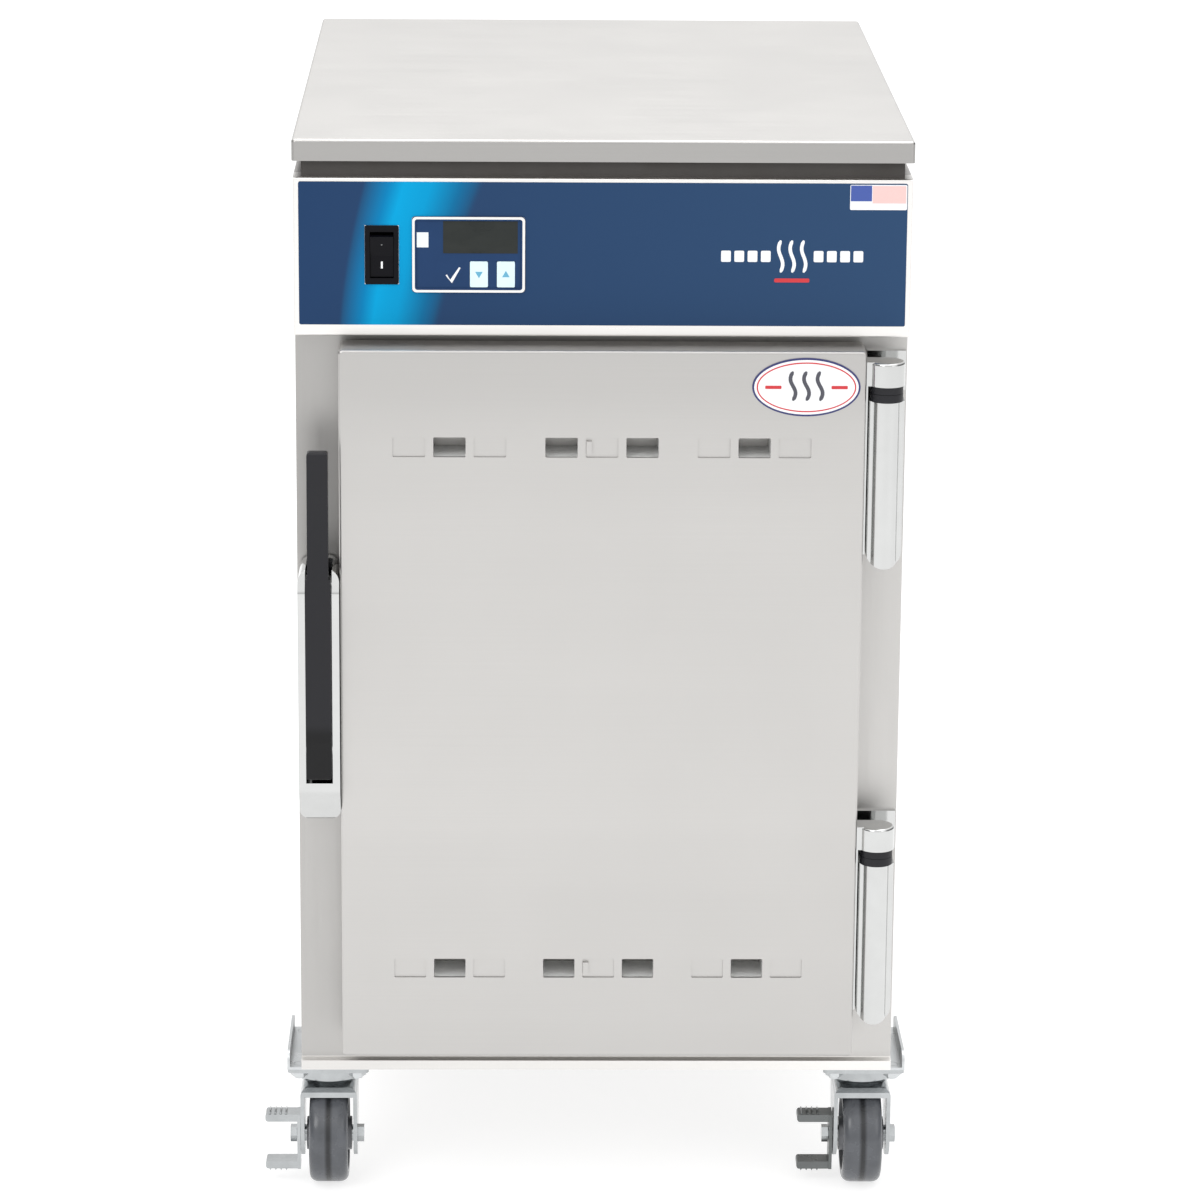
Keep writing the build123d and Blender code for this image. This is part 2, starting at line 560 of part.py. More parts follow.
with BuildPart() as power_rocker:
    with BuildSketch(Plane.YZ.offset(sx - ROCKER_SIZE[0] / 2)):
        Polygon(*rocker_outline(), align=None)
    extrude(amount=ROCKER_SIZE[0])
    fillet(power_rocker.edges().filter_by(Axis.X).group_by(Axis.Y)[0], 0.8)
    rod_x(STUB_RADIUS, (sx - STUB_HALF, sx + STUB_HALF), *ROCKER_PIVOT)
write(power_rocker, "power_rocker")


def at_module(offset_x, offset_z):
    """A point on the panel, from the control module's centre."""
    return (MODULE_CENTRE[0] + offset_x, MODULE_CENTRE[1] + offset_z)


with BuildPart() as module_housing:
    with BuildSketch(WALL.offset(-BEZEL_FRONT)):
        with Locations(MODULE_CENTRE):
            RectangleRounded(*MODULE_SIZE, 2)
            Rectangle(MODULE_SIZE[0] - 2 * MODULE_RIM, MODULE_SIZE[1] - 2 * MODULE_RIM,
                      mode=Mode.SUBTRACT)
    extrude(amount=BEZEL_FRONT - 0.4)
    fillet(module_housing.edges().group_by(Axis.Y)[0], 0.4)
    body = (MODULE_SIZE[0] - MODULE_RIM, MODULE_SIZE[1] - MODULE_RIM)
    with BuildSketch(WALL.offset(-BEZEL_FRONT)):
        with Locations(MODULE_CENTRE):
            Rectangle(*body)
            Rectangle(body[0] - 2 * MODULE_WALL, body[1] - 2 * MODULE_WALL, mode=Mode.SUBTRACT)
    extrude(amount=-MODULE_DEPTH)
    with BuildSketch(WALL.offset(-MODULE_FACE)):
        with Locations(MODULE_CENTRE):
            Rectangle(body[0] - 1, body[1] - 1)
        for dx, dz, wide, high in (DISPLAY, LAMP):
            with Locations(at_module(dx, dz)):
                Rectangle(wide, high, mode=Mode.SUBTRACT)
        for _, dx in KEY_OFFSETS:
            with Locations(at_module(dx, KEY_Z)):
                Rectangle(KEY_SIZE[0] + GAP, KEY_SIZE[1] + GAP, mode=Mode.SUBTRACT)
    extrude(amount=-1.2)
write(module_housing, "module_housing")

with BuildPart() as control_board:
    board_x, board_y = (-190.0, -40.0), (90.0, 200.0)
    board_z = TRAY_TOP + 10
    block(board_x, board_y, (board_z, board_z + BOARD_SHEET))
    for x in (board_x[0] + 6, board_x[1] - 6):
        for y in (board_y[0] + 6, board_y[1] - 6):
            rod_z(3.0, x, y, (TRAY_TOP, board_z))
    for x, y, wide, deep, high in ((-165, 120, 28, 22, 20), (-165, 165, 30, 30, 16),
                                   (-80, 120, 18, 40, 12), (-120, 115, 24, 24, 4)):
        block((x - wide / 2, x + wide / 2), (y - deep / 2, y + deep / 2), (board_z, board_z + high))
    for x in (-125, -108, -91):
        rod_z(6.0, x, 172, (board_z, board_z + 22))
    wide, high = body[0] / 2 - MODULE_WALL, body[1] / 2 - MODULE_WALL
    mx, mz = MODULE_CENTRE
    module_y = (MODULE_BOARD_Y, MODULE_BOARD_Y + BOARD_SHEET)
    block((mx - wide, mx + wide), module_y, (mz - high, mz + high))
    for _, dx in KEY_OFFSETS:
        kx, kz = at_module(dx, KEY_Z)
        switch_y = (MODULE_BOARD_Y - 2.9, MODULE_BOARD_Y)
        block((kx - 3, kx + 3), switch_y, (kz - 3, kz + 3))
    dx, dz, wide, high = DISPLAY
    dx, dz = at_module(dx, dz)
    glass = (MODULE_FACE + 2.4, MODULE_BOARD_Y)
    block((dx - wide / 2 + 1, dx + wide / 2 - 1), glass, (dz - high / 2 + 1, dz + high / 2 - 1))
write(control_board, "control_board")

with BuildPart() as display_lens:
    with BuildSketch(WALL.offset(-MODULE_FACE - 1.2)):
        for dx, dz, wide, high in (DISPLAY, LAMP):
            with Locations(at_module(dx, dz)):
                Rectangle(wide, high)
    extrude(amount=1.4)
write(display_lens, "display_lens")

for key_name, key_x in KEY_OFFSETS:
    with BuildPart() as key:
        with BuildSketch(WALL.offset(-MODULE_FACE - 1.0)):
            with Locations(at_module(key_x, KEY_Z)):
                RectangleRounded(*KEY_SIZE, 1)
        extrude(amount=1.5)
        fillet(key.edges().group_by(Axis.Y)[0], 0.3)
        stem_x, stem_z = at_module(key_x, KEY_Z)
        stem_y = (MODULE_FACE + 0.5, MODULE_BOARD_Y - 3.0 - KEY_TRAVEL)
        rod_y(2.0, stem_x, stem_y, stem_z)
    write(key, key_name)


# ====================================================================================== door
def vent_slots():
    """Centre x of each door slot, as (group, slot, x)."""
    groups = (-1, 0, 1)
    return [(g, s, g * VENT_GROUP_PITCH + s * VENT_PITCH) for g in groups for s in groups]


def open_slots():
    """Centre x of the slots that the vent slide leaves open at rest."""
    return [x for g, s, x in vent_slots() if (g, s) in VENT_OPEN]


SKIN_BACK = DOOR_BACK - 4.0
SLIDE_HEIGHT = VENT_SLOT[1] + 14.0
SLIDE_HALF = VENT_GROUP_PITCH + VENT_PITCH + VENT_SLOT[0] / 2 + 6.0
DOOR_Z = (DOOR_BOTTOM, DOOR_TOP)

with BuildPart() as door_skin:
    block((-DOOR_HALF, DOOR_HALF), (DOOR_FRONT, SKIN_BACK), DOOR_Z)
    fillet(door_skin.edges().filter_by(Axis.Y), DOOR_EDGE_RADIUS)
    fillet(door_skin.faces().sort_by(Axis.Y)[0].edges(), DOOR_EDGE_RADIUS - 0.8)
    inner_z = (DOOR_BOTTOM + DOOR_SHEET, DOOR_TOP - DOOR_SHEET)
    inner_x = (DOOR_SHEET - DOOR_HALF, DOOR_HALF - DOOR_SHEET)
    with BuildSketch(WALL.offset(-SKIN_BACK)):
        with Locations((0, (DOOR_BOTTOM + DOOR_TOP) / 2)):
            RectangleRounded(inner_x[1] - inner_x[0], inner_z[1] - inner_z[0],
                             DOOR_EDGE_RADIUS - DOOR_SHEET)
    extrude(amount=SKIN_BACK - DOOR_FRONT - DOOR_SHEET, mode=Mode.SUBTRACT)
    with BuildSketch(WALL.offset(-DOOR_FRONT)):
        for height in VENT_HEIGHTS:
            for _, _, x in vent_slots():
                with Locations((x, height)):
                    RectangleRounded(*VENT_SLOT, 1)
    extrude(amount=-DOOR_SHEET, mode=Mode.SUBTRACT)
    guide_y = (DOOR_FRONT + DOOR_SHEET, DOOR_FRONT + DOOR_SHEET + SLIDE_SHEET + GAP)
    for height in VENT_HEIGHTS:
        for edge in (-1, 1):
            near = edge * (SLIDE_HEIGHT / 2 + GAP)
            rail_z = sorted((height + near, height + near + edge * RAIL_HEIGHT))
            block((-SLIDE_HALF, SLIDE_HALF), guide_y, rail_z)
write(door_skin, "door_skin")

NEST = DOOR_SHEET + GAP

with BuildPart() as door_inner_pan:
    pan_x = (NEST - DOOR_HALF, DOOR_HALF - NEST)
    pan_z = (DOOR_BOTTOM + NEST, DOOR_TOP - NEST)
    block(pan_x, (0, DOOR_BACK), pan_z)
    fillet(door_inner_pan.edges().filter_by(Axis.Y), DOOR_EDGE_RADIUS)
    fillet(door_inner_pan.faces().sort_by(Axis.Y)[-1].edges(), 2)
    core_x = (pan_x[0] + DOOR_SHEET, pan_x[1] - DOOR_SHEET)
    core_z = (pan_z[0] + DOOR_SHEET, pan_z[1] - DOOR_SHEET)
    block(core_x, (0, DOOR_BACK - DOOR_SHEET), core_z, Mode.SUBTRACT)
    with BuildSketch(WALL.offset(-DOOR_BACK)):
        for height in VENT_HEIGHTS:
            mouth = height + (VENT_SLOT[1] - DUCT_MOUTH[1]) / 2
            for x in open_slots():
                with Locations((x, mouth)):
                    Rectangle(*DUCT_MOUTH)
    extrude(amount=DOOR_SHEET, mode=Mode.SUBTRACT)
write(door_inner_pan, "door_inner_pan")

SLIDE_FRONT = DOOR_FRONT + DOOR_SHEET + GAP
SLIDE_ROOM = SLIDE_SHEET + 2 * GAP

with BuildPart() as door_insulation:
    fill_x = (core_x[0] + GAP, core_x[1] - GAP)
    fill_z = (core_z[0] + GAP, core_z[1] - GAP)
    fill_front = DOOR_FRONT + DOOR_SHEET + SLIDE_ROOM
    block(fill_x, (fill_front, DOOR_BACK - DOOR_SHEET - GAP), fill_z)
    with BuildSketch(WALL.offset(-fill_front)):
        for height in VENT_HEIGHTS:
            for x in open_slots():
                with Locations((x, height)):
                    Rectangle(*VENT_SLOT)
    extrude(amount=-(DOOR_BACK - fill_front), mode=Mode.SUBTRACT)
write(door_insulation, "door_insulation")

for slide_name, height in zip(("vent_slide_lower", "vent_slide_upper"), VENT_HEIGHTS):
    with BuildPart() as vent_slide:
        with BuildSketch(WALL.offset(-SLIDE_FRONT - SLIDE_SHEET)):
            with Locations((0, height)):
                Rectangle(2 * SLIDE_HALF, SLIDE_HEIGHT)
            for x in open_slots():
                with Locations((x, height)):
                    Rectangle(*VENT_SLOT, mode=Mode.SUBTRACT)
        extrude(amount=SLIDE_SHEET)
        tab_x = -VENT_SLOT[0] / 2 + 0.4
        tab_y = (DOOR_FRONT - TAB_PROUD, SLIDE_FRONT)
        block((tab_x, tab_x + TAB_WIDTH), tab_y, (height - 5, height + 5))
    write(vent_slide, slide_name)

with BuildPart() as door_gasket:
    gasket_outer = (2 * (DOOR_HALF - GASKET_INSET), DOOR_TOP - DOOR_BOTTOM - 2 * GASKET_INSET)
    gasket_back = FACE_Y - GAP
    with BuildSketch(WALL.offset(-gasket_back)):
        with Locations((0, (DOOR_BOTTOM + DOOR_TOP) / 2)):
            RectangleRounded(*gasket_outer, GASKET_RADIUS)
            RectangleRounded(gasket_outer[0] - 2 * GASKET_WIDTH, gasket_outer[1] - 2 * GASKET_WIDTH,
                             GASKET_RADIUS - GASKET_WIDTH, mode=Mode.SUBTRACT)
    extrude(amount=gasket_back - DOOR_BACK)
    fillet(door_gasket.faces().sort_by(Axis.Y)[-1].edges(), 2.0)
write(door_gasket, "door_gasket")

with BuildPart() as door_badge:
    with BuildSketch(WALL.offset(-DOOR_FRONT)):
        with Locations((DOOR_HALF - BADGE_INSET[0], DOOR_TOP - BADGE_INSET[1])):
            Ellipse(*BADGE_SIZE)
    extrude(amount=0.8)
write(door_badge, "door_badge")

# ==================================================================================== hinges
with BuildPart() as hinge_frame_leaves:
    for low in HINGE_BOTTOMS:
        depth = FACE_Y - HINGE_Y + SHOULDER
        with BuildSketch(Plane.XY.offset(low)) as leaf:
            with Locations((HINGE_X, FACE_Y - depth / 2)):
                Rectangle(2 * HINGE_RADIUS, depth)
            fillet(leaf.vertices().group_by(Axis.Y)[0], SHOULDER - 0.5)
            with Locations((HINGE_X, HINGE_Y)):
                Circle(HINGE_RADIUS - BARREL_INSET)
        extrude(amount=HINGE_BARREL)
    with BuildSketch(WALL.offset(-FACE_Y)):
        for low in HINGE_BOTTOMS:
            with Locations((HINGE_X, low + HINGE_BARREL)):
                RectangleRounded(2 * HINGE_RADIUS, 2 * HINGE_BARREL, HINGE_RADIUS - 1)
    extrude(amount=FACE_Y - HINGE_Y + HINGE_RADIUS, mode=Mode.INTERSECT)
    for low in HINGE_BOTTOMS:
        top = low + HINGE_BARREL
        ear_z = (top, top + 2 * CAM_HEIGHT + KNUCKLE_HEIGHT)
        block((HINGE_X - CAM_RADIUS, HALF - 1), (FACE_Y - EAR_SHEET, FACE_Y), ear_z)
        rod_z(HINGE_PIN_RADIUS, HINGE_X, HINGE_Y, (top - HINGE_PIN_SEAT, top), Mode.SUBTRACT)
write(hinge_frame_leaves, "hinge_frame_leaves")

with BuildPart() as hinge_pins:
    for low in HINGE_BOTTOMS:
        top = low + HINGE_BARREL
        pin = (top - HINGE_PIN_SEAT, top + 2 * CAM_HEIGHT + KNUCKLE_BORE)
        rod_z(HINGE_PIN_RADIUS, HINGE_X, HINGE_Y, pin)
        rod_z(CAM_RADIUS, HINGE_X, HINGE_Y, (top, top + CAM_HEIGHT))
write(hinge_pins, "hinge_pins")

with BuildPart() as hinge_upper_cams:
    for low in HINGE_BOTTOMS:
        top = low + HINGE_BARREL + CAM_HEIGHT + GAP
        cam = (top, top + CAM_HEIGHT - GAP)
        rod_z(CAM_RADIUS, HINGE_X, HINGE_Y, cam)
        rod_z(HINGE_PIN_RADIUS + RUNNING, HINGE_X, HINGE_Y, cam, Mode.SUBTRACT)
write(hinge_upper_cams, "hinge_upper_cams")

with BuildPart() as hinge_door_leaves:
    for low in HINGE_BOTTOMS:
        knuckle_z = low + HINGE_BARREL + 2 * CAM_HEIGHT
        knuckle = (knuckle_z, knuckle_z + KNUCKLE_HEIGHT)
        rod_z(HINGE_RADIUS, HINGE_X, HINGE_Y, knuckle)
        arm_y = (HINGE_Y - 7, HINGE_Y + HINGE_RADIUS)
        block((DOOR_HALF, HINGE_X), arm_y, knuckle)
        leaf_y = (DOOR_FRONT + DOOR_EDGE_RADIUS + 1, SKIN_BACK - 2)
        block((DOOR_HALF, DOOR_HALF + LEAF_SHEET), leaf_y, (low + 10, knuckle[1]))
        bore = (knuckle_z, knuckle_z + KNUCKLE_BORE + GAP)
        rod_z(HINGE_PIN_RADIUS + RUNNING, HINGE_X, HINGE_Y, bore, Mode.SUBTRACT)
    for low in HINGE_BOTTOMS:
        cap = low + HINGE_BARREL + 2 * CAM_HEIGHT + KNUCKLE_HEIGHT
        rims = hinge_door_leaves.edges().filter_by_position(Axis.Z, cap - 0.1, cap + 0.1)
        fillet(rims.filter_by(GeomType.CIRCLE), 2)
write(hinge_door_leaves, "hinge_door_leaves")

# ===================================================================================== latch
LATCH_X = (-DOOR_HALF - LATCH_WIDTH, -DOOR_HALF)
LATCH_MID = sum(LATCH_X) / 2
LATCH_Z = (LATCH_BOTTOM, LATCH_BOTTOM + LATCH_HEIGHT)
LATCH_BACK = FACE_Y - STRIKE_SHEET - STRIKE_GAP
LEVER_PIVOT_Y = LEVER_FRONT + LEVER_THICKNESS + LEVER_BOSS
CHANNEL_BACK = LATCH_BACK - MAGNET[1] - LATCH_WALL
MAGNET_BOTTOMS = (LATCH_BOTTOM + 30, LATCH_BOTTOM + 130)
MAGNET_X = (LATCH_MID - MAGNET[0] / 2, LATCH_MID + MAGNET[0] / 2)
MAGNET_Y = (LATCH_BACK - MAGNET[1], LATCH_BACK)

with BuildPart() as latch_housing:
    bottom, top = LATCH_Z
    outline = [(LATCH_BACK, bottom + 6), (LATCH_BACK, top), (LATCH_FRONT + 8, top),
               (LATCH_FRONT, top - 16), (LATCH_FRONT, bottom + 26), (LATCH_FRONT + 16, bottom),
               (LATCH_BACK - 12, bottom)]
    side_profile(outline, LATCH_X[0], LATCH_WIDTH)
    corners = latch_housing.edges().filter_by(Axis.X)
    fillet(corners.filter_by_position(Axis.Y, LATCH_FRONT - 1, LATCH_FRONT + 17), 5)
    with BuildSketch(WALL.offset(-LATCH_BACK)):
        with Locations((LATCH_MID, (bottom + top) / 2)):
            RectangleRounded(LATCH_WIDTH, LATCH_HEIGHT, LATCH_RADIUS)
    extrude(amount=LATCH_BACK - LATCH_FRONT, mode=Mode.INTERSECT)
    channel = LEVER_WIDTH / 2 + TOUCH
    channel_z = (LEVER_BOTTOM - 4, top + 1)
    channel_x = (LATCH_MID - channel, LATCH_MID + channel)
    block(channel_x, (LATCH_FRONT - 1, CHANNEL_BACK), channel_z, Mode.SUBTRACT)
    rod_x(LATCH_PIN_RADIUS, LATCH_X, LEVER_PIVOT_Y, LEVER_PIVOT_Z, Mode.SUBTRACT)
    for low in MAGNET_BOTTOMS:
        block(MAGNET_X, MAGNET_Y, (low, low + MAGNET[2]), Mode.SUBTRACT)
write(latch_housing, "latch_housing")

with BuildPart() as latch_magnets:
    for low in MAGNET_BOTTOMS:
        block(MAGNET_X, MAGNET_Y, (low, low + MAGNET[2]))
write(latch_magnets, "latch_magnets")

with BuildPart() as latch_pin:
    rod_x(LATCH_PIN_RADIUS, LATCH_X, LEVER_PIVOT_Y, LEVER_PIVOT_Z)
write(latch_pin, "latch_pin")

with BuildPart() as latch_lever:
    front, behind = LEVER_FRONT, LEVER_FRONT + LEVER_THICKNESS
    neck = LATCH_Z[1] - 4
    lower = [(front + 3, LEVER_BOTTOM), (front, LEVER_BOTTOM + 30), (front, neck), (behind, neck),
             (behind, LEVER_BOTTOM)]
    side_profile(lower, LATCH_MID - LEVER_WIDTH / 2, LEVER_WIDTH)
    upper = [(front, neck), (front + 4, LEVER_TOP), (behind, LEVER_TOP), (behind, neck)]
    side_profile(upper, LATCH_MID - LEVER_GRIP_WIDTH / 2, LEVER_GRIP_WIDTH)
    fillet(latch_lever.faces().sort_by(Axis.Z)[-1].edges(), 2.5)
    fillet(latch_lever.faces().sort_by(Axis.Z)[0].edges(), 2)
    boss = (LATCH_MID - LEVER_WIDTH / 2 + 1, LATCH_MID + LEVER_WIDTH / 2 - 1)
    rod_x(LEVER_BOSS, boss, LEVER_PIVOT_Y, LEVER_PIVOT_Z)
    boss_z = (LEVER_PIVOT_Z - LEVER_BOSS, LEVER_PIVOT_Z + LEVER_BOSS)
    block(boss, (behind - 1, LEVER_PIVOT_Y), boss_z)
    rod_x(LATCH_PIN_RADIUS + RUNNING, boss, LEVER_PIVOT_Y, LEVER_PIVOT_Z, Mode.SUBTRACT)
write(latch_lever, "latch_lever")

with BuildPart() as latch_strike:
    strike_x = (LATCH_X[0] + 2, LATCH_X[1] - 2)
    block(strike_x, (FACE_Y - STRIKE_SHEET, FACE_Y), (LATCH_BOTTOM + 10, LATCH_Z[1] - 10))
    fillet(latch_strike.edges().filter_by(Axis.Y), 3)
write(latch_strike, "latch_strike")

# =================================================================================== casters
PLATE_Z = (CASTER_HEIGHT - PLATE[2], CASTER_HEIGHT)
RACE_FLOOR = RACE_TOP - RACE_DEPTH
AXLE_Z = WHEEL_RADIUS
LEG_INNER = FORK_HALF - FORK_SHEET
HOOD_REACH = WHEEL_RADIUS - HOOD_SETBACK


def plate_with_holes(x, y):
    """A caster's top plate, with its four bolt holes."""
    block((x - PLATE[0] / 2, x + PLATE[0] / 2), (y - PLATE[1] / 2, y + PLATE[1] / 2), PLATE_Z)
    with Locations((x, y, CASTER_HEIGHT)):
        with GridLocations(*BOLT_GRID, 2, 2):
            Hole(BOLT_RADIUS + GAP, depth=PLATE[2])


with BuildPart() as swivel_plates:
    for side in (-1, 1):
        x = side * CASTER_X
        rod_z(27.0, x, CASTER_FRONT_Y, (RACE_TOP + GAP, PLATE_Z[0]))
        plate_with_holes(x, CASTER_FRONT_Y)
        rod_z(KINGPIN_RADIUS, x, CASTER_FRONT_Y, (RACE_TOP, CASTER_HEIGHT), Mode.SUBTRACT)
    corners = swivel_plates.edges().filter_by(Axis.Z)
    fillet(corners.filter_by_position(Axis.Z, PLATE_Z[0] + 1, PLATE_Z[1] - 1), 4)
write(swivel_plates, "swivel_plates")


def leg_outline(top, y_axle):
    """(y, z) points of a fork leg, from its hooded crown down to a foot round the axle."""
    foot = [(y_axle + FORK_FOOT * cos(radians(a)), AXLE_Z + FORK_FOOT * sin(radians(a)))
            for a in range(-180, 1, 30)]
    hood = [(top[1], RACE_BOTTOM), (top[0] + HOOD_SLOPE, RACE_BOTTOM),
            (top[0], RACE_BOTTOM - HOOD_SLOPE), (top[0], RACE_BOTTOM - HOOD_HEIGHT)]
    return hood + foot


def fork_legs(x, top, y_axle):
    """Two legs joined by a crown with a front hood, open below and behind for the wheel."""
    side_profile(leg_outline(top, y_axle), x - FORK_HALF, 2 * FORK_HALF)
    inner = (x - LEG_INNER, x + LEG_INNER)
    room_z = (0, RACE_BOTTOM - FORK_SHEET)
    block(inner, (top[0] + FORK_SHEET, top[1] + 1), room_z, Mode.SUBTRACT)
    rod_x(WHEEL_RADIUS + WHEEL_CLEAR, inner, y_axle, AXLE_Z, Mode.SUBTRACT)
    rod_x(AXLE_RADIUS, (x - FORK_HALF - 1, x + FORK_HALF + 1), y_axle, AXLE_Z, Mode.SUBTRACT)


def axle_set(x, y, outer_left, outer_right):
    """An axle bolt with its head and nut, in a sleeve between the fork's legs."""
    rod_x(AXLE_RADIUS, (x - outer_left, x + outer_right), y, AXLE_Z)
    for low, high in ((-outer_left - AXLE_HEAD, -outer_left), (outer_right, outer_right + AXLE_HEAD)):
        with BuildSketch(Plane.YZ.offset(x + low)) as hexagon:
            with Locations((y, AXLE_Z)):
                RegularPolygon(7, 6)
        extrude(hexagon.sketch, amount=high - low)
    rod_x(SLEEVE_RADIUS, (x - LEG_INNER, x + LEG_INNER), y, AXLE_Z)


def wheel_solid(x, y):
    """A crowned wheel with a recessed web, round a plain bore, turned about its axle."""
    half, rim = WHEEL_WIDTH / 2, WHEEL_RADIUS
    hub_end, bore = half + HUB_PROUD, SLEEVE_RADIUS + RUNNING
    with BuildSketch(Plane(origin=(x, y, AXLE_Z), x_dir=(1, 0, 0), z_dir=(0, -1, 0))) as section:
        with BuildLine():
            Polyline((-hub_end, bore), (-hub_end, HUB_RADIUS), (-half + 6, HUB_RADIUS + 1),
                     (-half + 6, rim - 11), (-half, rim - 9), (-half, rim - 5))
            Bezier((-half, rim - 5), (-half + 1, rim), (-half + 8, rim))
            Line((-half + 8, rim), (half - 8, rim))
            Bezier((half - 8, rim), (half - 1, rim), (half, rim - 5))
            Polyline((half, rim - 5), (half, rim - 9), (half - 6, rim - 11),
                     (half - 6, HUB_RADIUS + 1), (hub_end, HUB_RADIUS), (hub_end, bore))
            Line((hub_end, bore), (-hub_end, bore))
        make_face()
    revolve(section.sketch, axis=Axis((x, y, AXLE_Z), (1, 0, 0)))


WHEEL_FRONT_Y = CASTER_FRONT_Y - WHEEL_LEAD
BRAKE_X = FORK_HALF + TOUCH
BOLT_REACH = BRAKE_X + BRAKE_SHEET + TOUCH

for side, word in ((-1, "left"), (1, "right")):
    x = side * CASTER_X
    with BuildPart() as swivel_fork:
        fork_legs(x, (WHEEL_FRONT_Y - HOOD_REACH, CASTER_FRONT_Y + 14), WHEEL_FRONT_Y)
        fillet(swivel_fork.edges().filter_by(Axis.Y).group_by(Axis.Z)[-1], 6)
        rod_z(RACE_RADIUS, x, CASTER_FRONT_Y, (RACE_BOTTOM + 3, RACE_TOP))
        with Locations((x, CASTER_FRONT_Y, RACE_BOTTOM + 1.5)):
            Cone(RACE_RADIUS - 3, RACE_RADIUS, 3)
        rod_z(RACE_RADIUS - 1.6, x, CASTER_FRONT_Y, (RACE_FLOOR, RACE_TOP), Mode.SUBTRACT)
        king_hole = (RACE_BOTTOM - FORK_SHEET, RACE_TOP)
        rod_z(KINGPIN_RADIUS + RUNNING, x, CASTER_FRONT_Y, king_hole, Mode.SUBTRACT)
    write(swivel_fork, f"swivel_fork_{word}")

    with BuildPart() as front_axle:
        axle_set(x, WHEEL_FRONT_Y, BOLT_REACH, FORK_HALF)
    write(front_axle, f"front_axle_{word}")

    with BuildPart() as brake_lever:
        arm = x - BRAKE_X - BRAKE_SHEET
        foot_z, head_z = AXLE_Z - BRAKE_BELOW, AXLE_Z + BRAKE_ABOVE
        plate = [(WHEEL_FRONT_Y - 9, foot_z), (WHEEL_FRONT_Y + 9, foot_z), (WHEEL_FRONT_Y + 11, AXLE_Z),
                 (WHEEL_FRONT_Y + 9, head_z), (WHEEL_FRONT_Y - 9, head_z), (WHEEL_FRONT_Y - 11, AXLE_Z)]
        side_profile(plate, arm, BRAKE_SHEET)
        tip = x - BRAKE_REACH
        for low in (foot_z, head_z - TOE_HEIGHT):
            toe_z = (low, low + TOE_HEIGHT)
            block((tip, arm + 1), (WHEEL_FRONT_Y - 8, WHEEL_FRONT_Y + 8), toe_z)
        toes = brake_lever.edges().filter_by_position(Axis.X, tip - 0.1, tip + 0.1)
        fillet(toes, 2)
        reach_x = (arm - 1, arm + BRAKE_SHEET + 1)
        rod_x(AXLE_RADIUS + RUNNING, reach_x, WHEEL_FRONT_Y, AXLE_Z, Mode.SUBTRACT)
    write(brake_lever, f"brake_lever_{word}")

    for place, y in (("front", WHEEL_FRONT_Y), ("rear", CASTER_REAR_Y)):
        with BuildPart() as wheel:
            wheel_solid(x, y)
        write(wheel, f"wheel_{place}_{word}")

with BuildPart() as rigid_forks:
    for side in (-1, 1):
        x = side * CASTER_X
        post = ((x - FORK_HALF, x + FORK_HALF), (CASTER_REAR_Y - 26, CASTER_REAR_Y + 26))
        fork_legs(x, post[1], CASTER_REAR_Y)
        block(*post, (RACE_BOTTOM - FORK_SHEET, PLATE_Z[0]))
        hollow_x = (x - LEG_INNER, x + LEG_INNER)
        block(hollow_x, post[1], (RACE_BOTTOM - FORK_SHEET, PLATE_Z[0] - FORK_SHEET), Mode.SUBTRACT)
        plate_with_holes(x, CASTER_REAR_Y)
write(rigid_forks, "rigid_forks")

with BuildPart() as rear_axles:
    for side in (-1, 1):
        axle_set(side * CASTER_X, CASTER_REAR_Y, FORK_HALF, FORK_HALF)
write(rear_axles, "rear_axles")

with BuildPart() as swivel_bearings:
    for side in (-1, 1):
        x = side * CASTER_X
        crown_under = RACE_BOTTOM - FORK_SHEET
        rod_z(KINGPIN_RADIUS, x, CASTER_FRONT_Y, (crown_under - 1, CASTER_HEIGHT))
        rod_z(8.0, x, CASTER_FRONT_Y, (crown_under - 3.4, crown_under - GAP))
        with Locations((x, CASTER_FRONT_Y, RACE_FLOOR + BALL_RADIUS + 0.05)):
            with PolarLocations(BALL_CIRCLE, 14):
                Sphere(BALL_RADIUS)
write(swivel_bearings, "swivel_bearings")

# ==================================================================================== inside
for side, word in ((-1, "left"), (1, "right")):
    wall = side * (CAVITY_WIDTH / 2 - RACK_STANDOFF)
    ledge = wall - side * RACK_LEDGE
    with BuildPart() as side_rack:
        for y in (RACK_FRONT_Y, RACK_BACK_Y):
            rack_top = RACK_Z0 + (RACK_STEPS - 1) * RACK_PITCH + 20
            rod_z(RACK_ROD, wall, y, (CAVITY_BOTTOM + 12, rack_top))
            for stud_z in (CAVITY_BOTTOM + 20, rack_top - 8):
                stud = sorted((wall, side * CAVITY_WIDTH / 2))
                rod_x(RACK_ROD - 0.8, stud, y, stud_z)
        for step in range(RACK_STEPS):
            height = RACK_Z0 + step * RACK_PITCH
            with BuildLine() as rail:
                FilletPolyline((wall, RACK_FRONT_Y, height), (ledge, RACK_FRONT_Y, height),
                               (ledge, RACK_BACK_Y, height), (wall, RACK_BACK_Y, height), radius=6)
            with BuildSketch(Plane(origin=rail.line @ 0, z_dir=rail.line % 0)):
                Circle(RAIL_ROD)
            sweep(path=rail.line)
    write(side_rack, f"side_rack_{word}")

WIRES_A_SIDE = int((SHELF_HALF - 2 * SHELF_ROD) / SHELF_PITCH)

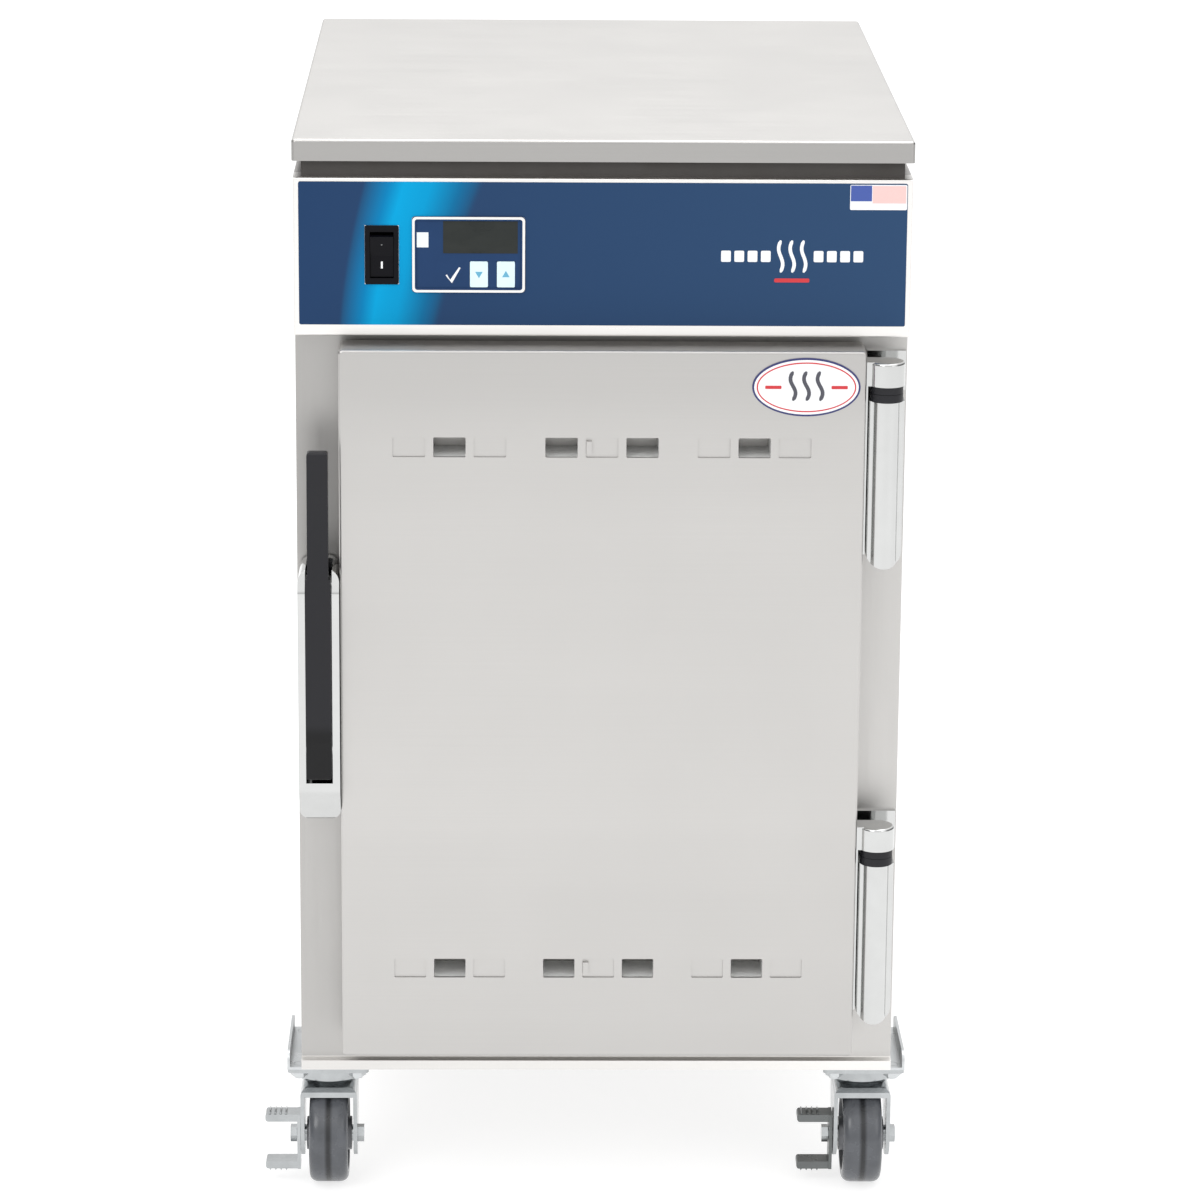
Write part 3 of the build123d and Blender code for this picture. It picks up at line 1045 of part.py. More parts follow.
for word, step in zip(("lower", "upper"), SHELF_STEPS):
    with BuildPart() as shelf:
        rest = RACK_Z0 + step * RACK_PITCH + RAIL_ROD
        for y in (RACK_FRONT_Y - 10, (RACK_FRONT_Y + RACK_BACK_Y) / 2, RACK_BACK_Y + 10):
            rod_x(SHELF_ROD, (-SHELF_HALF, SHELF_HALF), y, rest + SHELF_ROD)
        for x in (-SHELF_HALF + SHELF_ROD, SHELF_HALF - SHELF_ROD):
            ends = (RACK_FRONT_Y - 10, RACK_BACK_Y + 10)
            rod_y(SHELF_ROD - 0.3, x, ends, rest + SHELF_ROD - 0.3)
        for i in range(-WIRES_A_SIDE, WIRES_A_SIDE + 1):
            rod_y(SHELF_WIRE, i * SHELF_PITCH, ends, rest + 2 * SHELF_ROD)
    write(shelf, f"shelf_{word}")

with BuildPart() as drip_pan:
    inset_x, inset_front, inset_back = DRIP_PAN_INSET
    pan_half = CAVITY_WIDTH / 2 - inset_x
    pan_y = (CAVITY_FRONT + inset_front, CAVITY_BACK - inset_back)
    block((-pan_half, pan_half), pan_y, (CAVITY_BOTTOM, CAVITY_BOTTOM + DRIP_PAN_HEIGHT))
    fillet(drip_pan.edges().filter_by(Axis.Z), 12)
    fillet(drip_pan.faces().sort_by(Axis.Z)[0].edges(), 2)
    offset(amount=-1.0, openings=drip_pan.faces().sort_by(Axis.Z)[-1])
write(drip_pan, "drip_pan")

with BuildPart() as air_probe:
    probe_x, probe_z = 60.0, CAVITY_TOP - 98.0
    rod_y(9.0, probe_x, (CAVITY_BACK - 3, CAVITY_BACK), probe_z)
    rod_y(2.5, probe_x, (CAVITY_BACK - 52, CAVITY_BACK - 3), probe_z)
write(air_probe, "air_probe")

# ================================================================================= fasteners
with BuildPart() as body_fasteners:
    for side, y in caster_spots():
        for dx in (-0.5, 0.5):
            for dy in (-0.5, 0.5):
                bx, by = side * CASTER_X + dx * BOLT_GRID[0], y + dy * BOLT_GRID[1]
                if abs(bx) < CASTER_X:
                    top = BODY_BOTTOM + SHEET
                else:
                    top = BODY_BOTTOM
                rod_z(BOLT_RADIUS, bx, by, (PLATE_Z[0] - BOLT_HEAD - 2, top))
                with BuildSketch(Plane.XY.offset(PLATE_Z[0])):
                    with Locations((bx, by)):
                        RegularPolygon(6.8, 6)
                extrude(amount=-BOLT_HEAD)
write(body_fasteners, "body_fasteners")
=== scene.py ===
"""Studio picture of the food holding cabinet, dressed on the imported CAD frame.

Metres, +Z up, the door faces -Y. The CAD nodes keep their shapes and get better materials;
printed marks, screws and other fine trim are added here.
"""

import json
import math

import bmesh
import bpy
from mathutils import Matrix, Vector


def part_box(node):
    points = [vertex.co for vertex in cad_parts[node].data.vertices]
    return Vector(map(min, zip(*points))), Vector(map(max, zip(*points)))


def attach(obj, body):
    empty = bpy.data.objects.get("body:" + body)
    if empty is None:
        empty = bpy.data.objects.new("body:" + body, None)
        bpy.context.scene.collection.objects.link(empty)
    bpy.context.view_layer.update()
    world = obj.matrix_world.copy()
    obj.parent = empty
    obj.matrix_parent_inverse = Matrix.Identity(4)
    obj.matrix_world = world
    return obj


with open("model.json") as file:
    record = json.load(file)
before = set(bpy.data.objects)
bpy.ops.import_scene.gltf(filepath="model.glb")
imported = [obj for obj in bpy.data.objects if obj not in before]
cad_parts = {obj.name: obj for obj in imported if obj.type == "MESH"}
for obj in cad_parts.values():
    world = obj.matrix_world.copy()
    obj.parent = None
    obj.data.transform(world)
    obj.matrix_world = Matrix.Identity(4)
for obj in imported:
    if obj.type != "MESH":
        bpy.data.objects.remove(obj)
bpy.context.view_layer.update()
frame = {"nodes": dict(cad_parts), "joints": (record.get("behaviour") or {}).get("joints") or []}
nodes = frame["nodes"]


# ---------------------------------------------------------------------------------- materials
class Shader:
    """A Principled material, with short calls for the nodes that this scene uses."""

    def __init__(self, name, color, metallic=0.0, roughness=0.5, **values):
        self.material = bpy.data.materials.new(name)
        self.material.use_nodes = True
        self.tree = self.material.node_tree
        self.bsdf = self.tree.nodes["Principled BSDF"]
        self.bsdf.inputs["Base Color"].default_value = (*color, 1)
        self.bsdf.inputs["Metallic"].default_value = metallic
        self.bsdf.inputs["Roughness"].default_value = roughness
        for key, value in values.items():
            self.bsdf.inputs[key.replace("_", " ")].default_value = value

    def node(self, kind, **properties):
        made = self.tree.nodes.new(kind)
        for key, value in properties.items():
            setattr(made, key, value)
        return made

    def link(self, source, target):
        self.tree.links.new(source, target)

    def drive(self, name, source):
        self.link(source, self.bsdf.inputs[name])

    def place(self, scale=(1, 1, 1), offset=(0, 0, 0)):
        """Object coordinates, which are the row frame's metres, scaled."""
        where = self.node("ShaderNodeTexCoord")
        mapping = self.node("ShaderNodeMapping")
        mapping.inputs["Scale"].default_value = scale
        mapping.inputs["Location"].default_value = offset
        self.link(where.outputs["Object"], mapping.inputs["Vector"])
        return mapping.outputs["Vector"]

    def axes(self, vector=None):
        split = self.node("ShaderNodeSeparateXYZ")
        self.link(vector or self.place(), split.inputs[0])
        return split.outputs

    def noise(self, vector, scale=1.0, detail=3.0, rough=0.5):
        made = self.node("ShaderNodeTexNoise")
        made.inputs["Scale"].default_value = scale
        made.inputs["Detail"].default_value = detail
        made.inputs["Roughness"].default_value = rough
        self.link(vector, made.inputs["Vector"])
        return made.outputs["Fac"]

    def math(self, operation, a, b=0.0, clamp=False):
        made = self.node("ShaderNodeMath", operation=operation, use_clamp=clamp)
        for socket, value in zip(made.inputs, (a, b)):
            if isinstance(value, (int, float)):
                socket.default_value = value
            else:
                self.link(value, socket)
        return made.outputs[0]

    def span(self, value, low, high, out_low=0.0, out_high=1.0, smooth=False):
        made = self.node("ShaderNodeMapRange", clamp=True)
        made.interpolation_type = "SMOOTHSTEP" if smooth else "LINEAR"
        self.link(value, made.inputs["Value"])
        bounds = (low, high, out_low, out_high)
        for key, number in zip(("From Min", "From Max", "To Min", "To Max"), bounds):
            if isinstance(number, (int, float)):
                made.inputs[key].default_value = number
            else:
                self.link(number, made.inputs[key])
        return made.outputs["Result"]

    def mix(self, factor, a, b):
        made = self.node("ShaderNodeMix", data_type="RGBA")
        self.link(factor, made.inputs[0])
        for socket, value in ((made.inputs[6], a), (made.inputs[7], b)):
            if isinstance(value, tuple):
                socket.default_value = (*value, 1)
            else:
                self.link(value, socket)
        return made.outputs[2]

    def darken(self, color, factor):
        """Colour times a number socket."""
        made = self.node("ShaderNodeVectorMath", operation="SCALE")
        self.link(color, made.inputs[0])
        self.link(factor, made.inputs["Scale"])
        return made.outputs[0]

    def ramp(self, factor, stops):
        made = self.node("ShaderNodeValToRGB")
        points = made.color_ramp.elements
        while len(points) < len(stops):
            points.new(0.5)
        for point, (where, color) in zip(points, stops):
            point.position = where
            point.color = (*color, 1)
        self.link(factor, made.inputs[0])
        return made.outputs[0]

    def bump(self, height, distance, strength=1.0):
        made = self.node("ShaderNodeBump")
        made.inputs["Distance"].default_value = distance
        made.inputs["Strength"].default_value = strength
        self.link(height, made.inputs["Height"])
        self.drive("Normal", made.outputs["Normal"])


def srgb(*values):
    """Linear colour from 0 to 255 display values."""
    return tuple(((v / 255 + 0.055) / 1.055) ** 2.4 if v > 10 else v / 255 / 12.92 for v in values)


def shade(color, factor):
    return tuple(c * factor for c in color)


def brushed(name, color, grain, roughness=0.3, painted_light=None):
    """Brushed stainless steel; grain is the axis the scratches run along.

    The last argument, if given, makes from the shader a number socket that the colour is multiplied by:
    painted light and shade on that part.
    """
    made = Shader(name, color, metallic=1.0, roughness=roughness)
    fine = {"X": (5, 900, 900), "Y": (900, 5, 900), "Z": (900, 900, 5)}[grain]
    streak = made.noise(made.place(fine), detail=4, rough=0.65)
    cloud = made.noise(made.place((3, 3, 3)), detail=2)
    smudge = made.noise(made.place((14, 14, 9)), detail=4)
    tone = made.mix(streak, shade(color, 0.93), shade(color, 1.05))
    tone = made.mix(made.span(cloud, 0.3, 0.7, 0.0, 0.5), tone, shade(color, 0.93))
    # Painted light and shade, multiplied into the colour.
    if painted_light:
        tone = made.darken(tone, painted_light(made))
    made.drive("Base Color", tone)
    rough = made.span(streak, 0.3, 0.7, roughness - 0.05, roughness + 0.07)
    made.drive("Roughness", made.math("ADD", rough, made.span(smudge, 0.35, 0.75, 0.0, 0.05)))
    made.bump(streak, 0.00002, 0.35)
    return made.material


def plated(name, color, roughness=0.12, spots=0.25):
    """Chrome or zinc plate, with faint handling marks."""
    made = Shader(name, color, metallic=1.0, roughness=roughness)
    haze = made.noise(made.place((60, 60, 60)), detail=5, rough=0.6)
    made.drive("Base Color", made.mix(haze, shade(color, 1 - spots * 0.3), shade(color, 1.03)))
    made.drive("Roughness", made.span(haze, 0.3, 0.75, roughness * 0.75, roughness * 1.6))
    made.bump(made.noise(made.place((700, 700, 700)), detail=2), 0.00001, 0.3)
    return made.material


def moulded(name, color, roughness=0.4, grain=1400, depth=0.00003, **values):
    """Moulded plastic or rubber with a fine grain and slight wear."""
    made = Shader(name, color, roughness=roughness, **values)
    fine = made.noise(made.place((grain, grain, grain)), detail=2)
    cloud = made.noise(made.place((40, 40, 40)), detail=4)
    made.drive("Base Color", made.mix(cloud, shade(color, 0.85), shade(color, 1.15)))
    made.drive("Roughness", made.span(cloud, 0.3, 0.7, roughness * 0.85, roughness * 1.2))
    made.bump(fine, depth, 0.4)
    return made.material


def rim_painted_shade(made):
    """Painted shade: the top cover's rim, which faces sideways, is darkened against its top sheet,
    which faces up into the light.
    """
    split = made.node("ShaderNodeSeparateXYZ")
    made.link(made.node("ShaderNodeNewGeometry").outputs["Normal"], split.inputs[0])
    # Painted shade, set by how far the surface turns away from facing up.
    return made.span(split.outputs["Z"], 0.2, 0.9, 0.63, 1.0)


def face_painted_light(made):
    """Painted light and shade on the face: its left strip is darker than its right one, and darker
    still near its top, where the panel shades it.

    The lip along its bottom edge is lightened, as painted light.
    """
    x, _, z = made.axes()
    low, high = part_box("front_frame")
    # Painted shade at the left, painted light at the right, and painted shade towards the top on the
    # left.
    across = made.span(x, low.x + 0.04, high.x - 0.04, 0.93, 1.10)
    up = made.span(z, low.z + 0.25, high.z, 1.0, 0.90)
    right = made.span(x, low.x, high.x, 0.0, 1.0)
    top_shade_on_left = made.math("MAXIMUM", up, right)
    # Painted light on the lip at the bottom.
    lip_top = low.z + 0.0095
    lip_painted_light = made.span(z, lip_top, lip_top + 0.0005, 1.50, 1.0)
    return made.math("MULTIPLY", made.math("MULTIPLY", across, top_shade_on_left), lip_painted_light)


def door_painted_shade(made):
    """Painted shade, darkest under the door's top edge and faint along its bottom, over soft random
    bands along the door.
    """
    _, _, z = made.axes()
    low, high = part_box("door_skin")
    # Painted shade under the top edge and along the bottom.
    top = made.span(z, high.z - 0.09, high.z - 0.01, 1.0, 0.91, smooth=True)
    foot = made.span(z, low.z, low.z + 0.22, 0.955, 1.0, smooth=True)
    bands = made.noise(made.place((0.4, 0.4, 11)), detail=3)
    ends = made.math("MULTIPLY", top, foot)
    return made.math("MULTIPLY", ends, made.span(bands, 0.3, 0.7, 0.975, 1.02))


# The copies of STEEL are lightened or darkened as painted light and shade: the bezel's (1.45) and the
# top cover's (1.08) are lightened, and the face frame's (0.85) is darkened.
STEEL = (0.62, 0.608, 0.592)
door_steel_painted_shade = brushed("door_steel_painted_shade", shade(STEEL, 0.92), "X", 0.34, door_painted_shade)
frame_steel_painted_light = brushed("frame_steel_painted_light", shade(STEEL, 0.85), "Z", 0.36, face_painted_light)
cover_steel_painted_light = brushed("cover_steel_painted_light", shade(STEEL, 1.08), "X", 0.36, rim_painted_shade)
casing_steel = brushed("casing_steel", shade(STEEL, 0.9), "Z", 0.32)
liner_steel = brushed("liner_steel", shade(STEEL, 0.95), "Y", 0.3)
slide_steel = brushed("slide_steel", shade(STEEL, 0.9), "X", 0.36)
bezel_steel_painted_light = brushed("bezel_steel_painted_light", shade(STEEL, 1.45), "X", 0.3)
galvanised = plated("galvanised", (0.66, 0.68, 0.69), 0.3, 0.7)
zinc = plated("zinc", (0.54, 0.56, 0.57), 0.15, 1.3)
# Painted shade: a darker copy of the zinc, for the right brake lever and its teeth.
zinc_painted_shade = plated("zinc_painted_shade", (0.20, 0.21, 0.21), 0.28, 1.2)
chrome = plated("chrome", (0.60, 0.605, 0.60), 0.08, 0.3)
wire = plated("wire", (0.72, 0.72, 0.73), 0.15, 0.3)
black_nylon = moulded("black_nylon", (0.012, 0.012, 0.015), 0.45, Specular_IOR_Level=0.3)
black_gloss = moulded("black_gloss", (0.003, 0.003, 0.005), 0.3, Specular_IOR_Level=0.12)
seal = moulded("seal", (0.055, 0.050, 0.046), 0.7, 500, 0.0001)
gasket = moulded("gasket", (0.09, 0.09, 0.088), 0.6, 500, 0.0001)
magnet = moulded("magnet", (0.10, 0.10, 0.11), 0.6)


def lever_material():
    """Black nylon, polished by hands along the grip, with painted shade blackening its lower end."""
    made = Shader("lever_nylon", (0.012, 0.012, 0.015), roughness=0.45, Specular_IOR_Level=0.3)
    low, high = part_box("latch_lever")
    _, _, z = made.axes()
    # Painted shade: the lower end is darkened to a quarter.
    foot = made.span(z, low.z + 0.035, low.z + 0.045, 0.25, 1.0, smooth=True)
    cloud = made.noise(made.place((40, 40, 40)), detail=4)
    tone = made.mix(cloud, (0.011, 0.011, 0.014), (0.015, 0.015, 0.018))
    made.drive("Base Color", made.darken(tone, foot))
    grip = made.span(z, high.z - 0.10, high.z, 0.50, 0.38)
    made.drive("Roughness", made.math("ADD", grip, made.span(cloud, 0.3, 0.7, -0.04, 0.05)))
    made.bump(made.noise(made.place((1400, 1400, 1400)), detail=2), 0.00003, 0.4)
    return made.material


def overlay_material():
    """Printed blue panel with a slanted cyan sweep that fades at both sides."""
    navy, cyan = srgb(36, 62, 98), srgb(0, 157, 210)
    made = Shader("overlay_print", navy, roughness=0.42, Specular_IOR_Level=0.08)
    low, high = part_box("panel_overlay")
    x, _, z = made.axes()
    rise = made.span(z, low.z, high.z)
    bend = made.math("MULTIPLY", made.math("MULTIPLY", rise, rise), 0.010)
    left_edge = made.math("ADD", made.math("MULTIPLY", rise, 0.009), bend)
    from_left = made.math("SUBTRACT", made.math("SUBTRACT", x, left_edge), low.x + 0.028)
    right_edge = made.math("ADD", made.math("MULTIPLY", rise, 0.024), bend)
    to_right = made.math("SUBTRACT", made.math("ADD", right_edge, low.x + 0.105), x)
    across = made.math("DIVIDE", from_left, made.math("ADD", from_left, to_right))
    sweep = made.ramp(across, [(0.0, navy), (0.22, srgb(4, 122, 176)), (0.34, cyan),
                               (0.56, srgb(0, 148, 200)), (0.80, srgb(14, 104, 150)), (1.0, navy)])
    fade = made.noise(made.place((9, 9, 9)), detail=2)
    navy_tone = made.mix(made.span(x, low.x, high.x), srgb(35, 61, 97), srgb(47, 73, 106))
    inside = made.math("MULTIPLY", made.span(from_left, 0.0, 0.004, smooth=True),
                       made.span(to_right, 0.0, 0.008, smooth=True))
    tone = made.mix(made.span(fade, 0.3, 0.7, 0.0, 0.08), made.mix(inside, navy_tone, sweep), navy)
    made.drive("Base Color", tone)
    grain = made.noise(made.place((2500, 2500, 2500)), detail=2)
    made.drive("Roughness", made.span(grain, 0.3, 0.7, 0.38, 0.48))
    made.bump(grain, 0.00001, 0.3)
    return made.material


def wheel_material(node):
    """Dark tread and a greyer hub, told apart by the distance from the axle."""
    low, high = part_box(node)
    middle = (low + high) / 2
    rubber, hub = (0.085, 0.090, 0.100), (0.20, 0.205, 0.22)
    made = Shader(f"{node}_rubber", rubber, roughness=0.2)
    x, y, z = made.axes()
    dy, dz = made.math("SUBTRACT", y, middle.y), made.math("SUBTRACT", z, middle.z)
    squares = made.math("ADD", made.math("MULTIPLY", dy, dy), made.math("MULTIPLY", dz, dz))
    radius = made.math("SQRT", squares)
    hub_edge = 0.0255
    tread = made.span(radius, hub_edge, hub_edge + 0.0007)
    cloud = made.noise(made.place((55, 55, 55)), detail=5)
    worn = made.mix(cloud, shade(rubber, 0.6), shade(rubber, 1.6))
    off_middle = made.math("ABSOLUTE", made.math("SUBTRACT", x, middle.x))
    seam = made.span(off_middle, 0.0010, 0.0035)
    worn = made.mix(seam, shade(rubber, 0.22), worn)
    made.drive("Base Color", made.mix(tread, hub, worn))
    made.drive("Roughness", made.span(cloud, 0.3, 0.7, 0.16, 0.34))
    made.bump(made.noise(made.place((900, 900, 900)), detail=3), 0.00003, 0.3)
    return made.material


def insulation_material():
    """Matted glass wool."""
    made = Shader("fibre_wool", (0.72, 0.62, 0.34), roughness=0.95, Sheen_Weight=0.4)
    curl = made.noise(made.place((120, 120, 120)), detail=8, rough=0.7)
    made.drive("Base Color", made.mix(curl, (0.45, 0.36, 0.16), (0.88, 0.80, 0.52)))
    made.bump(curl, 0.002, 0.7)
    return made.material


def board_material():
    """Green board with tracks, and dark parts standing on it."""
    made = Shader("circuit_board", (0.03, 0.2, 0.09), roughness=0.4)
    tracks = made.node("ShaderNodeTexBrick")
    tracks.inputs["Scale"].default_value = 90
    made.link(made.place(), tracks.inputs["Vector"])
    _, _, z = made.axes()
    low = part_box("control_board")[0]
    board_top = low.z + 0.0125
    above = made.span(z, board_top, board_top + 0.0005)
    green = made.mix(tracks.outputs["Fac"], (0.02, 0.16, 0.07), (0.05, 0.26, 0.12))
    made.drive("Base Color", made.mix(above, green, (0.03, 0.03, 0.035)))
    made.bump(tracks.outputs["Fac"], 0.0001, 0.4)
    return made.material


def display_material():
    """Smoked window, with a pale lamp at its left."""
    made = Shader("display_glass", srgb(34, 38, 36), roughness=0.3, Specular_IOR_Level=0.18)
    low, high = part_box("display_lens")
    x, _, z = made.axes()
    lamp_end = low.x + 0.0095
    lamp = made.span(x, lamp_end, lamp_end + 0.0003)
    cloud = made.noise(made.place((50, 50, 90)), detail=3)
    glass = made.mix(cloud, srgb(32, 36, 35), srgb(50, 53, 51))
    made.drive("Base Color", made.mix(lamp, srgb(228, 236, 240), glass))
    made.drive("Roughness", made.span(cloud, 0.3, 0.7, 0.26, 0.34))
    return made.material


def foil_material():
    """Foil facing of the door's insulation, creased and pale."""
    made = Shader("foil_facing", (0.80, 0.80, 0.79), metallic=0.15, roughness=0.5)
    crease = made.noise(made.place((260, 260, 260)), detail=5, rough=0.7)
    made.drive("Base Color", made.mix(crease, (0.70, 0.70, 0.69), (0.92, 0.92, 0.91)))
    made.drive("Roughness", made.span(crease, 0.3, 0.7, 0.4, 0.6))
    made.bump(crease, 0.0004, 0.6)
    return made.material


def paint(material, *names):
    """Give CAD nodes a material."""
    for name in names:
        data = nodes[name].data
        data.materials.clear()
        data.materials.append(material)


paint(door_steel_painted_shade, "door_skin")
paint(frame_steel_painted_light, "front_frame")
paint(cover_steel_painted_light, "top_cover")
paint(bezel_steel_painted_light, "control_bezel")
paint(casing_steel, "outer_casing", "base_pan", "door_inner_pan", "electronics_tray")
paint(liner_steel, "inner_liner", "drip_pan", "air_probe")
paint(slide_steel, "vent_slide_lower", "vent_slide_upper", "latch_strike")
paint(galvanised, "caster_brackets", "body_fasteners")
paint(zinc, "swivel_plates", "swivel_fork_left", "swivel_fork_right", "rigid_forks", "rear_axles")
paint(zinc, "front_axle_left", "front_axle_right", "brake_lever_left")
paint(zinc_painted_shade, "brake_lever_right")
paint(zinc, "swivel_bearings")
paint(chrome, "hinge_frame_leaves", "hinge_door_leaves", "latch_housing", "latch_pin")
paint(wire, "shelf_lower", "shelf_upper", "side_rack_left", "side_rack_right")
paint(lever_material(), "latch_lever")
paint(black_nylon, "hinge_pins", "hinge_upper_cams", "cord_gland")
paint(black_nylon, "fan_frame", "fan_rotor")
paint(black_gloss, "switch_body", "power_rocker")
paint(moulded("mains", (0.12, 0.11, 0.10), 0.5), "mains_parts")
paint(magnet, "latch_magnets")
paint(seal, "lid_gasket")
paint(gasket, "door_gasket")
paint(insulation_material(), "body_insulation")
paint(foil_material(), "door_insulation")
paint(moulded("heat_cable", (0.42, 0.09, 0.05), 0.6), "heating_cable")
paint(overlay_material(), "panel_overlay")
paint(moulded("module_case", srgb(34, 60, 98), 0.4, Specular_IOR_Level=0.12), "module_housing")
paint(display_material(), "display_lens")
paint(moulded("key_caps", srgb(214, 236, 243), 0.35), "key_up", "key_down")
paint(board_material(), "control_board")
for wheel in ("wheel_front_left", "wheel_front_right", "wheel_rear_left", "wheel_rear_right"):
    paint(wheel_material(wheel), wheel)


# ------------------------------------------------------------------------------------- pieces
PRINT_PROUD = 0.00015  # a printed mark's face, ahead of what it is on
PRINT_THICK = 0.0002
LAYER = 0.0001  # one print over another


def add(name, mesh, material, body):
    """A piece that rides on a body."""
    made = bpy.data.objects.new(name, mesh)
    bpy.context.collection.objects.link(made)
    mesh.materials.append(material)
    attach(made, body)
    return made


def smooth(mesh, angle=35):
    """Smooth shading, with edges sharper than the angle left sharp."""
    for face in mesh.polygons:
        face.use_smooth = True
    mesh.set_sharp_from_angle(angle=math.radians(angle))


def slab(name, outlines, y, thickness, bevel=0.0):
    """Flat mesh from (x, z) outlines, front face at y, going back by thickness."""
    form = bmesh.new()
    for outline in outlines:
        front = [form.verts.new((x, y, z)) for x, z in outline]
        back = [form.verts.new((x, y + thickness, z)) for x, z in outline]
        form.faces.new(front)
        form.faces.new(back[::-1])
        for i in range(len(outline)):
            j = (i + 1) % len(outline)
            form.faces.new((front[j], front[i], back[i], back[j]))
    bmesh.ops.recalc_face_normals(form, faces=form.faces)
    if bevel:
        rim = [e for e in form.edges if all(abs(v.co.y - y) < 1e-6 for v in e.verts)]
        bmesh.ops.bevel(form, geom=rim, offset=bevel, segments=2, affect="EDGES", profile=0.5)
    mesh = bpy.data.meshes.new(name)
    form.to_mesh(mesh)
    form.free()
    smooth(mesh, 40)
    return mesh


def ellipse(cx, cz, rx, rz, count=72):
    """(x, z) points round an ellipse."""
    turn = [2 * math.pi * i / count for i in range(count)]
    return [(cx + rx * math.cos(a), cz + rz * math.sin(a)) for a in turn]


def rectangle(x0, x1, z0, z1, radius=0.0, steps=6):
    """(x, z) points round a rectangle, with rounded corners if a radius is given."""
    if not radius:
        return [(x0, z0), (x1, z0), (x1, z1), (x0, z1)]
    points = []
    for cx, cz, start in ((x1 - radius, z1 - radius, 0), (x0 + radius, z1 - radius, 90),
                          (x0 + radius, z0 + radius, 180), (x1 - radius, z0 + radius, 270)):
        for i in range(steps + 1):
            a = math.radians(start + 90 * i / steps)
            points.append((cx + radius * math.cos(a), cz + radius * math.sin(a)))
    return points


def stroke(points, width):
    """Outline of a stroke of that width along (x, z) points, thinner at both ends."""
    left, right = [], []
    for i, (x, z) in enumerate(points):
        ax, az = points[max(i - 1, 0)]
        bx, bz = points[min(i + 1, len(points) - 1)]
        length = math.hypot(bx - ax, bz - az)
        nx, nz = -(bz - az) / length, (bx - ax) / length
        half = width / 2 * (0.45 if i in (0, len(points) - 1) else 1.0)
        left.append((x + nx * half, z + nz * half))
        right.append((x - nx * half, z - nz * half))
    return left + right[::-1]


def wave(cx, cz, high, sway, width):
    """One rising heat line."""
    points = []
    for i in range(15):
        t = i / 14
        points.append((cx + sway * math.sin(t * 2 * math.pi), cz - high / 2 + high * t))
    return stroke(points, width)


def print_material(name, color, roughness=0.4):
    """Printing ink with a fine speckle."""
    made = Shader(name, color, roughness=roughness)
    speck = made.noise(made.place((900, 900, 900)), detail=3)
    made.drive("Base Color", made.mix(speck, shade(color, 0.94), shade(color, 1.03)))
    made.drive("Roughness", made.span(speck, 0.3, 0.7, roughness * 0.9, roughness * 1.1))
    return made.material


white_ink = print_material("white_ink", (0.86, 0.87, 0.88))
red_ink = print_material("red_ink", srgb(203, 44, 52))
navy_ink = print_material("navy_ink", srgb(44, 48, 104))
pale_red = print_material("pale_red", srgb(240, 196, 192))
grey_ink = print_material("grey_ink", srgb(74, 74, 84))
blue_ink = print_material("blue_ink", srgb(60, 84, 160))

overlay_low, overlay_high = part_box("panel_overlay")
panel_y = overlay_low.y

# Generic emblem: two rows of white blocks with rising heat lines between them, over a red bar.
emblem_x, emblem_z = overlay_high.x - 0.0845, overlay_low.z + 0.0525
bars = []
for i in range(4):
    for s in (-1, 1):
        block_x = emblem_x + s * (0.0195 + i * 0.0098)
        bars.append(rectangle(block_x - 0.0036, block_x + 0.0036,
                              emblem_z - 0.0042, emblem_z + 0.0042, 0.001))
heat = [wave(emblem_x + i * 0.0085, emblem_z, 0.024, 0.0016, 0.0026) for i in (-1, 0, 1)]
add("emblem_white", slab("emblem_white", bars + heat, panel_y - PRINT_PROUD, PRINT_THICK),
    white_ink, "cabinet")
under = [rectangle(emblem_x - 0.013, emblem_x + 0.013, emblem_z - 0.0195, emblem_z - 0.0165, 0.001)]
add("emblem_red", slab("emblem_red", under, panel_y - PRINT_PROUD, PRINT_THICK),
    red_ink, "cabinet")

# Plain sticker in the panel's top right corner, a white field with a blue and a pale red one.
tag_x0, tag_x1 = overlay_high.x - 0.0425, overlay_high.x - 0.0005
tag_z0, tag_z1 = overlay_high.z - 0.0195, overlay_high.z - 0.0008
for name, field, layer, ink in (
    ("sticker_white", (tag_x0, tag_x1, tag_z0, tag_z1, 0.001), 1, white_ink),
    ("sticker_blue", (tag_x0 + 0.0005, tag_x0 + 0.016, tag_z0 + 0.0065, tag_z1 - 0.0005), 2, blue_ink),
    ("sticker_red", (tag_x0 + 0.0165, tag_x1 - 0.0008, tag_z0 + 0.005, tag_z1 - 0.0008), 2, pale_red),
):
    add(name, slab(name, [rectangle(*field)], panel_y - layer * PRINT_PROUD, PRINT_THICK), ink,
        "cabinet")

# Door badge: navy rim, red inner line, white field, rising heat lines.
badge_low, badge_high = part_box("door_badge")
badge_x, badge_z = (badge_low.x + badge_high.x) / 2, (badge_low.z + badge_high.z) / 2
badge_y = badge_low.y
wide, tall = (badge_high.x - badge_low.x) / 2, (badge_high.z - badge_low.z) / 2
paint(navy_ink, "door_badge")
for step, (inset, ink) in enumerate(((0.0014, white_ink), (0.0032, red_ink), (0.0042, white_ink))):
    field = ellipse(badge_x, badge_z, wide - inset, tall - inset)
    name = f"badge_ring_{step + 1}"
    add(name, slab(name, [field], badge_y - LAYER * (step + 1), PRINT_THICK), ink, "door")
lines = [wave(badge_x + i * 0.010, badge_z + 0.001, 0.022, 0.0020, 0.0028) for i in (-1, 0, 1)]
badge_face = badge_y - 5 * LAYER
add("badge_heat", slab("badge_heat", lines, badge_face, 3 * LAYER), grey_ink, "door")
dashes = [rectangle(badge_x + s * 0.0245 - 0.006, badge_x + s * 0.0245 + 0.006,
                    badge_z - 0.0012, badge_z + 0.0012, 0.0006) for s in (-1, 1)]
